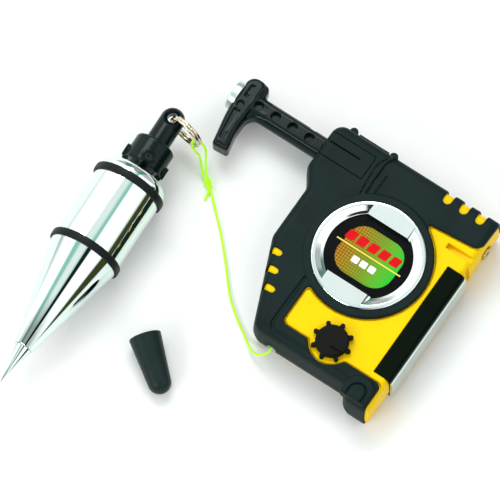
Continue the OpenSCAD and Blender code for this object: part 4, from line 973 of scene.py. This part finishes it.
def add_bob():
    shoulder_r = 6
    groove = BOB_R - 0.8
    shell = [(2.6, TIP_LEN), (4.9, TIP_LEN), (5.2, TIP_LEN + 0.3)]
    for a in BUMPERS.values():
        shell += [(BOB_R, a - BUMPER_W / 2 - 0.05), (groove, a - BUMPER_W / 2 - 0.05),
                  (groove, a + BUMPER_W / 2 + 0.05), (BOB_R, a + BUMPER_W / 2 + 0.05)]
    shell += [(BOB_R - shoulder_r + shoulder_r * math.cos(t), SHOULDER_A + shoulder_r * math.sin(t))
              for t in np.linspace(0, math.radians(72), 14)]
    shell += [(COLLAR_R + 0.9, HEAD_A - 0.1), (COLLAR_R + 0.7, HEAD_A), (8, HEAD_A)]
    piece("bob_shell", *lathe(shell, BOB_PLACE, 192), CHROME, "bob", "bright_chrome", ["bob_body"])
    point = [(0.05, 0), (0.15, 0.1), (4.5, TIP_LEN - 0.5), (4.6, TIP_LEN - 0.1), (2.5, TIP_LEN)]
    piece("bob_point", *lathe(point, BOB_PLACE, 128), CHROME, "bob", "bright_chrome", ["bob_tip"])
    for name, a in BUMPERS.items():
        half = BUMPER_W / 2
        band = [(groove, a - half, 0), (BUMPER_R - 0.2, a - half, 0.7), (BUMPER_R, a, 8),
                (BUMPER_R - 0.2, a + half, 0.7), (groove, a + half, 0), (groove, a - half, 0)]
        turned = lathe(rounded(band, closed=False), BOB_PLACE, 128)
        piece(f"{name}_band", *turned, RUBBER, "bob", "bumper_rubber", [name])
    carved_piece("bob_head", in_bob(collar), *bob_box(HEAD_A, COLLAR_A, 13), 0.3, BLACK, "bob",
                 "black_plastic", ["bob_collar"])
    carved_piece("bob_shank", in_bob(neck), *bob_box(COLLAR_A - 2, NECK_END, 7), 0.3, BLACK, "neck",
                 "black_plastic", ["bob_neck"])


add_bob()


# Split ring of two turns, and the tip cap on its side

WIRE_R = 0.85
CAP_AT = (-71.2, -90.6)
CAP_YAW = math.radians(-38.7)


def add_ring():
    turns = np.linspace(0, 4 * np.pi, 193)
    shift = 0.95 * WIRE_R * np.tanh((turns - 2 * np.pi) / 0.35)
    path = [RING_AT + RING_R * (math.cos(t + 2.2) * RING_OUT + math.sin(t + 2.2) * UP) + s * RING_SIDE
            for t, s in zip(turns, shift)]
    piece("key_ring", *tube(path, WIRE_R, 16), NICKEL, "ring", "nickel", ["split_ring"])


def add_tip_cap():
    mouth, end, length, wall = 8.15, 5.9, 30.5, 1.6
    run = length - end
    tilt = math.asin((mouth - end) / run)
    place = (Matrix.Translation((*CAP_AT, mouth * math.cos(tilt) + 0.05)) @ Matrix.Rotation(CAP_YAW, 4, "Z")
             @ Matrix.Rotation(math.radians(90) + tilt, 4, "Y"))
    outside = [(mouth - wall, 0.5, 0), (mouth - wall, 0, 0.4), (mouth, 0, 0.5)]
    shell = [tuple(p) for p in rounded(outside + [(end, run, 0)], closed=False)][:-1]
    shell += [(end * math.cos(t), run + end * math.sin(t)) for t in np.linspace(0, math.radians(88), 16)]
    bore = [(0.1, run + 1), (end - wall - 1, run + 0.4), (end - wall, run - 1), (mouth - wall, 0.5)]
    piece("point_cap", *lathe(shell + bore, place, 96), CAP_RUBBER, "cap", "bumper_rubber", ["tip_cap"])


add_ring()
add_tip_cap()


# CAD nodes whose shape is right keep their mesh, with softened edges and a finish

SOFT_EDGES = {"magnet_block": 0.35, "pole_plate": 0.25, "release_bar": 0.35, "case_screws": 0.15,
              "needle_bush": 0.2, "collar_screws": 0.15, "line_eyelet": 0.1}
SEEN_AS = {"collar_screws": BLACK_STEEL, "needle_bush": BRASS}


def dress_nodes():
    slots = {part["node"]: part["material_slot"] for part in frame["record"]["subparts"]}
    for name, node in frame["nodes"].items():
        material = SEEN_AS.get(name, SLOT_MATERIALS[slots[name]])
        node.data.materials.clear()
        node.data.materials.append(material)
        if name in SOFT_EDGES:
            bevel = node.modifiers.new("soft_edges", "BEVEL")
            bevel.width = SOFT_EDGES[name] * MM
            bevel.segments = 3
            bevel.limit_method = "ANGLE"
            bevel.harden_normals = True


dress_nodes()


# Floor and light

def add_floor():
    half, level = 3.0, -0.0001
    corners = [(-half, -half, level), (half, -half, level), (half, half, level), (-half, half, level)]
    mesh = bpy.data.meshes.new("floor")
    mesh.from_pydata(corners, [], [(0, 1, 2, 3)])
    mesh.materials.append(surface("floor_paper", (0.86, 0.86, 0.86), (0.88, 0.88, 0.88), (0.7, 0.85),
                                  600, 0.00001))
    floor = bpy.data.objects.new("floor", mesh)
    bpy.context.scene.collection.objects.link(floor)


def add_light(name, spot, aim, size, power):
    data = bpy.data.lights.new(name, "AREA")
    data.shape = "RECTANGLE"
    data.size, data.size_y = size
    data.energy = power
    lamp = bpy.data.objects.new(name, data)
    lamp.location = spot
    lamp.rotation_euler = (Vector(aim) - Vector(spot)).to_track_quat("-Z", "Y").to_euler()
    bpy.context.scene.collection.objects.link(lamp)


def add_world():
    """Two soft boxes over the part with a dimmer, faintly green gap between them, a dark flag low on the
    right and a dark patch where the lens looks in, so that the chrome shows streaks along the bob."""
    world = bpy.data.worlds.new("studio")
    bpy.context.scene.world = world
    world.use_nodes = True
    links = world.node_tree.links
    backdrop = world.node_tree.nodes["Background"]
    sky = add_node(world, "ShaderNodeTexCoord").outputs["Generated"]
    apart = add_node(world, "ShaderNodeSeparateXYZ")
    links.new(sky, apart.inputs["Vector"])
    across = remap(world, apart.outputs["X"], 0, 1, -1, 1)
    along = remap(world, apart.outputs["Y"], 0, 1, -1, 1)
    white, pale, mint = (1.5, 1.45, 1.45), (0.98, 1.02, 1.02), (0.34, 0.66, 0.58)
    edge, flag = (0.5, 0.6, 0.58), (0.06, 0.06, 0.02)
    stops = [(0, edge), (0.03, white), (0.21, white), (0.255, mint), (0.33, mint), (0.39, pale), (0.52, pale),
             (0.59, mint), (0.63, mint), (0.665, white), (0.92, white), (0.945, pale), (0.957, flag),
             (1, flag)]
    links.new(ramp_node(world, across, stops), backdrop.inputs["Color"])
    black, full = (0, 0, 0), (1, 1, 1)
    lens = ramp_node(world, across, [(0.57, black), (0.59, full), (0.68, full), (0.7, black)])
    near = remap(world, apart.outputs["Y"], 1, 0, -0.04, 0.06)
    patch = add_node(world, "ShaderNodeMath", operation="MULTIPLY")
    links.new(lens, patch.inputs[0])
    links.new(near, patch.inputs[1])
    dim = (0.38, 0.38, 0.38)
    boxes = ramp_node(world, along, [(0.2, dim), (0.28, full), (0.75, full), (0.83, dim)])
    power = add_node(world, "ShaderNodeMath", operation="MULTIPLY")
    links.new(remap(world, patch.outputs["Value"], 1, 0.02, 0, 1), power.inputs[0])
    links.new(boxes, power.inputs[1])
    links.new(power.outputs["Value"], backdrop.inputs["Strength"])


def add_studio():
    add_floor()
    add_world()
    middle = (-0.04, -0.01, 0.01)
    add_light("key_box", (-0.6, 0.6, 1.2), middle, (0.9, 0.6), 10)
    add_light("front_strip", (-0.3, -1.15, 0.7), middle, (0.9, 0.2), 8)


add_studio()
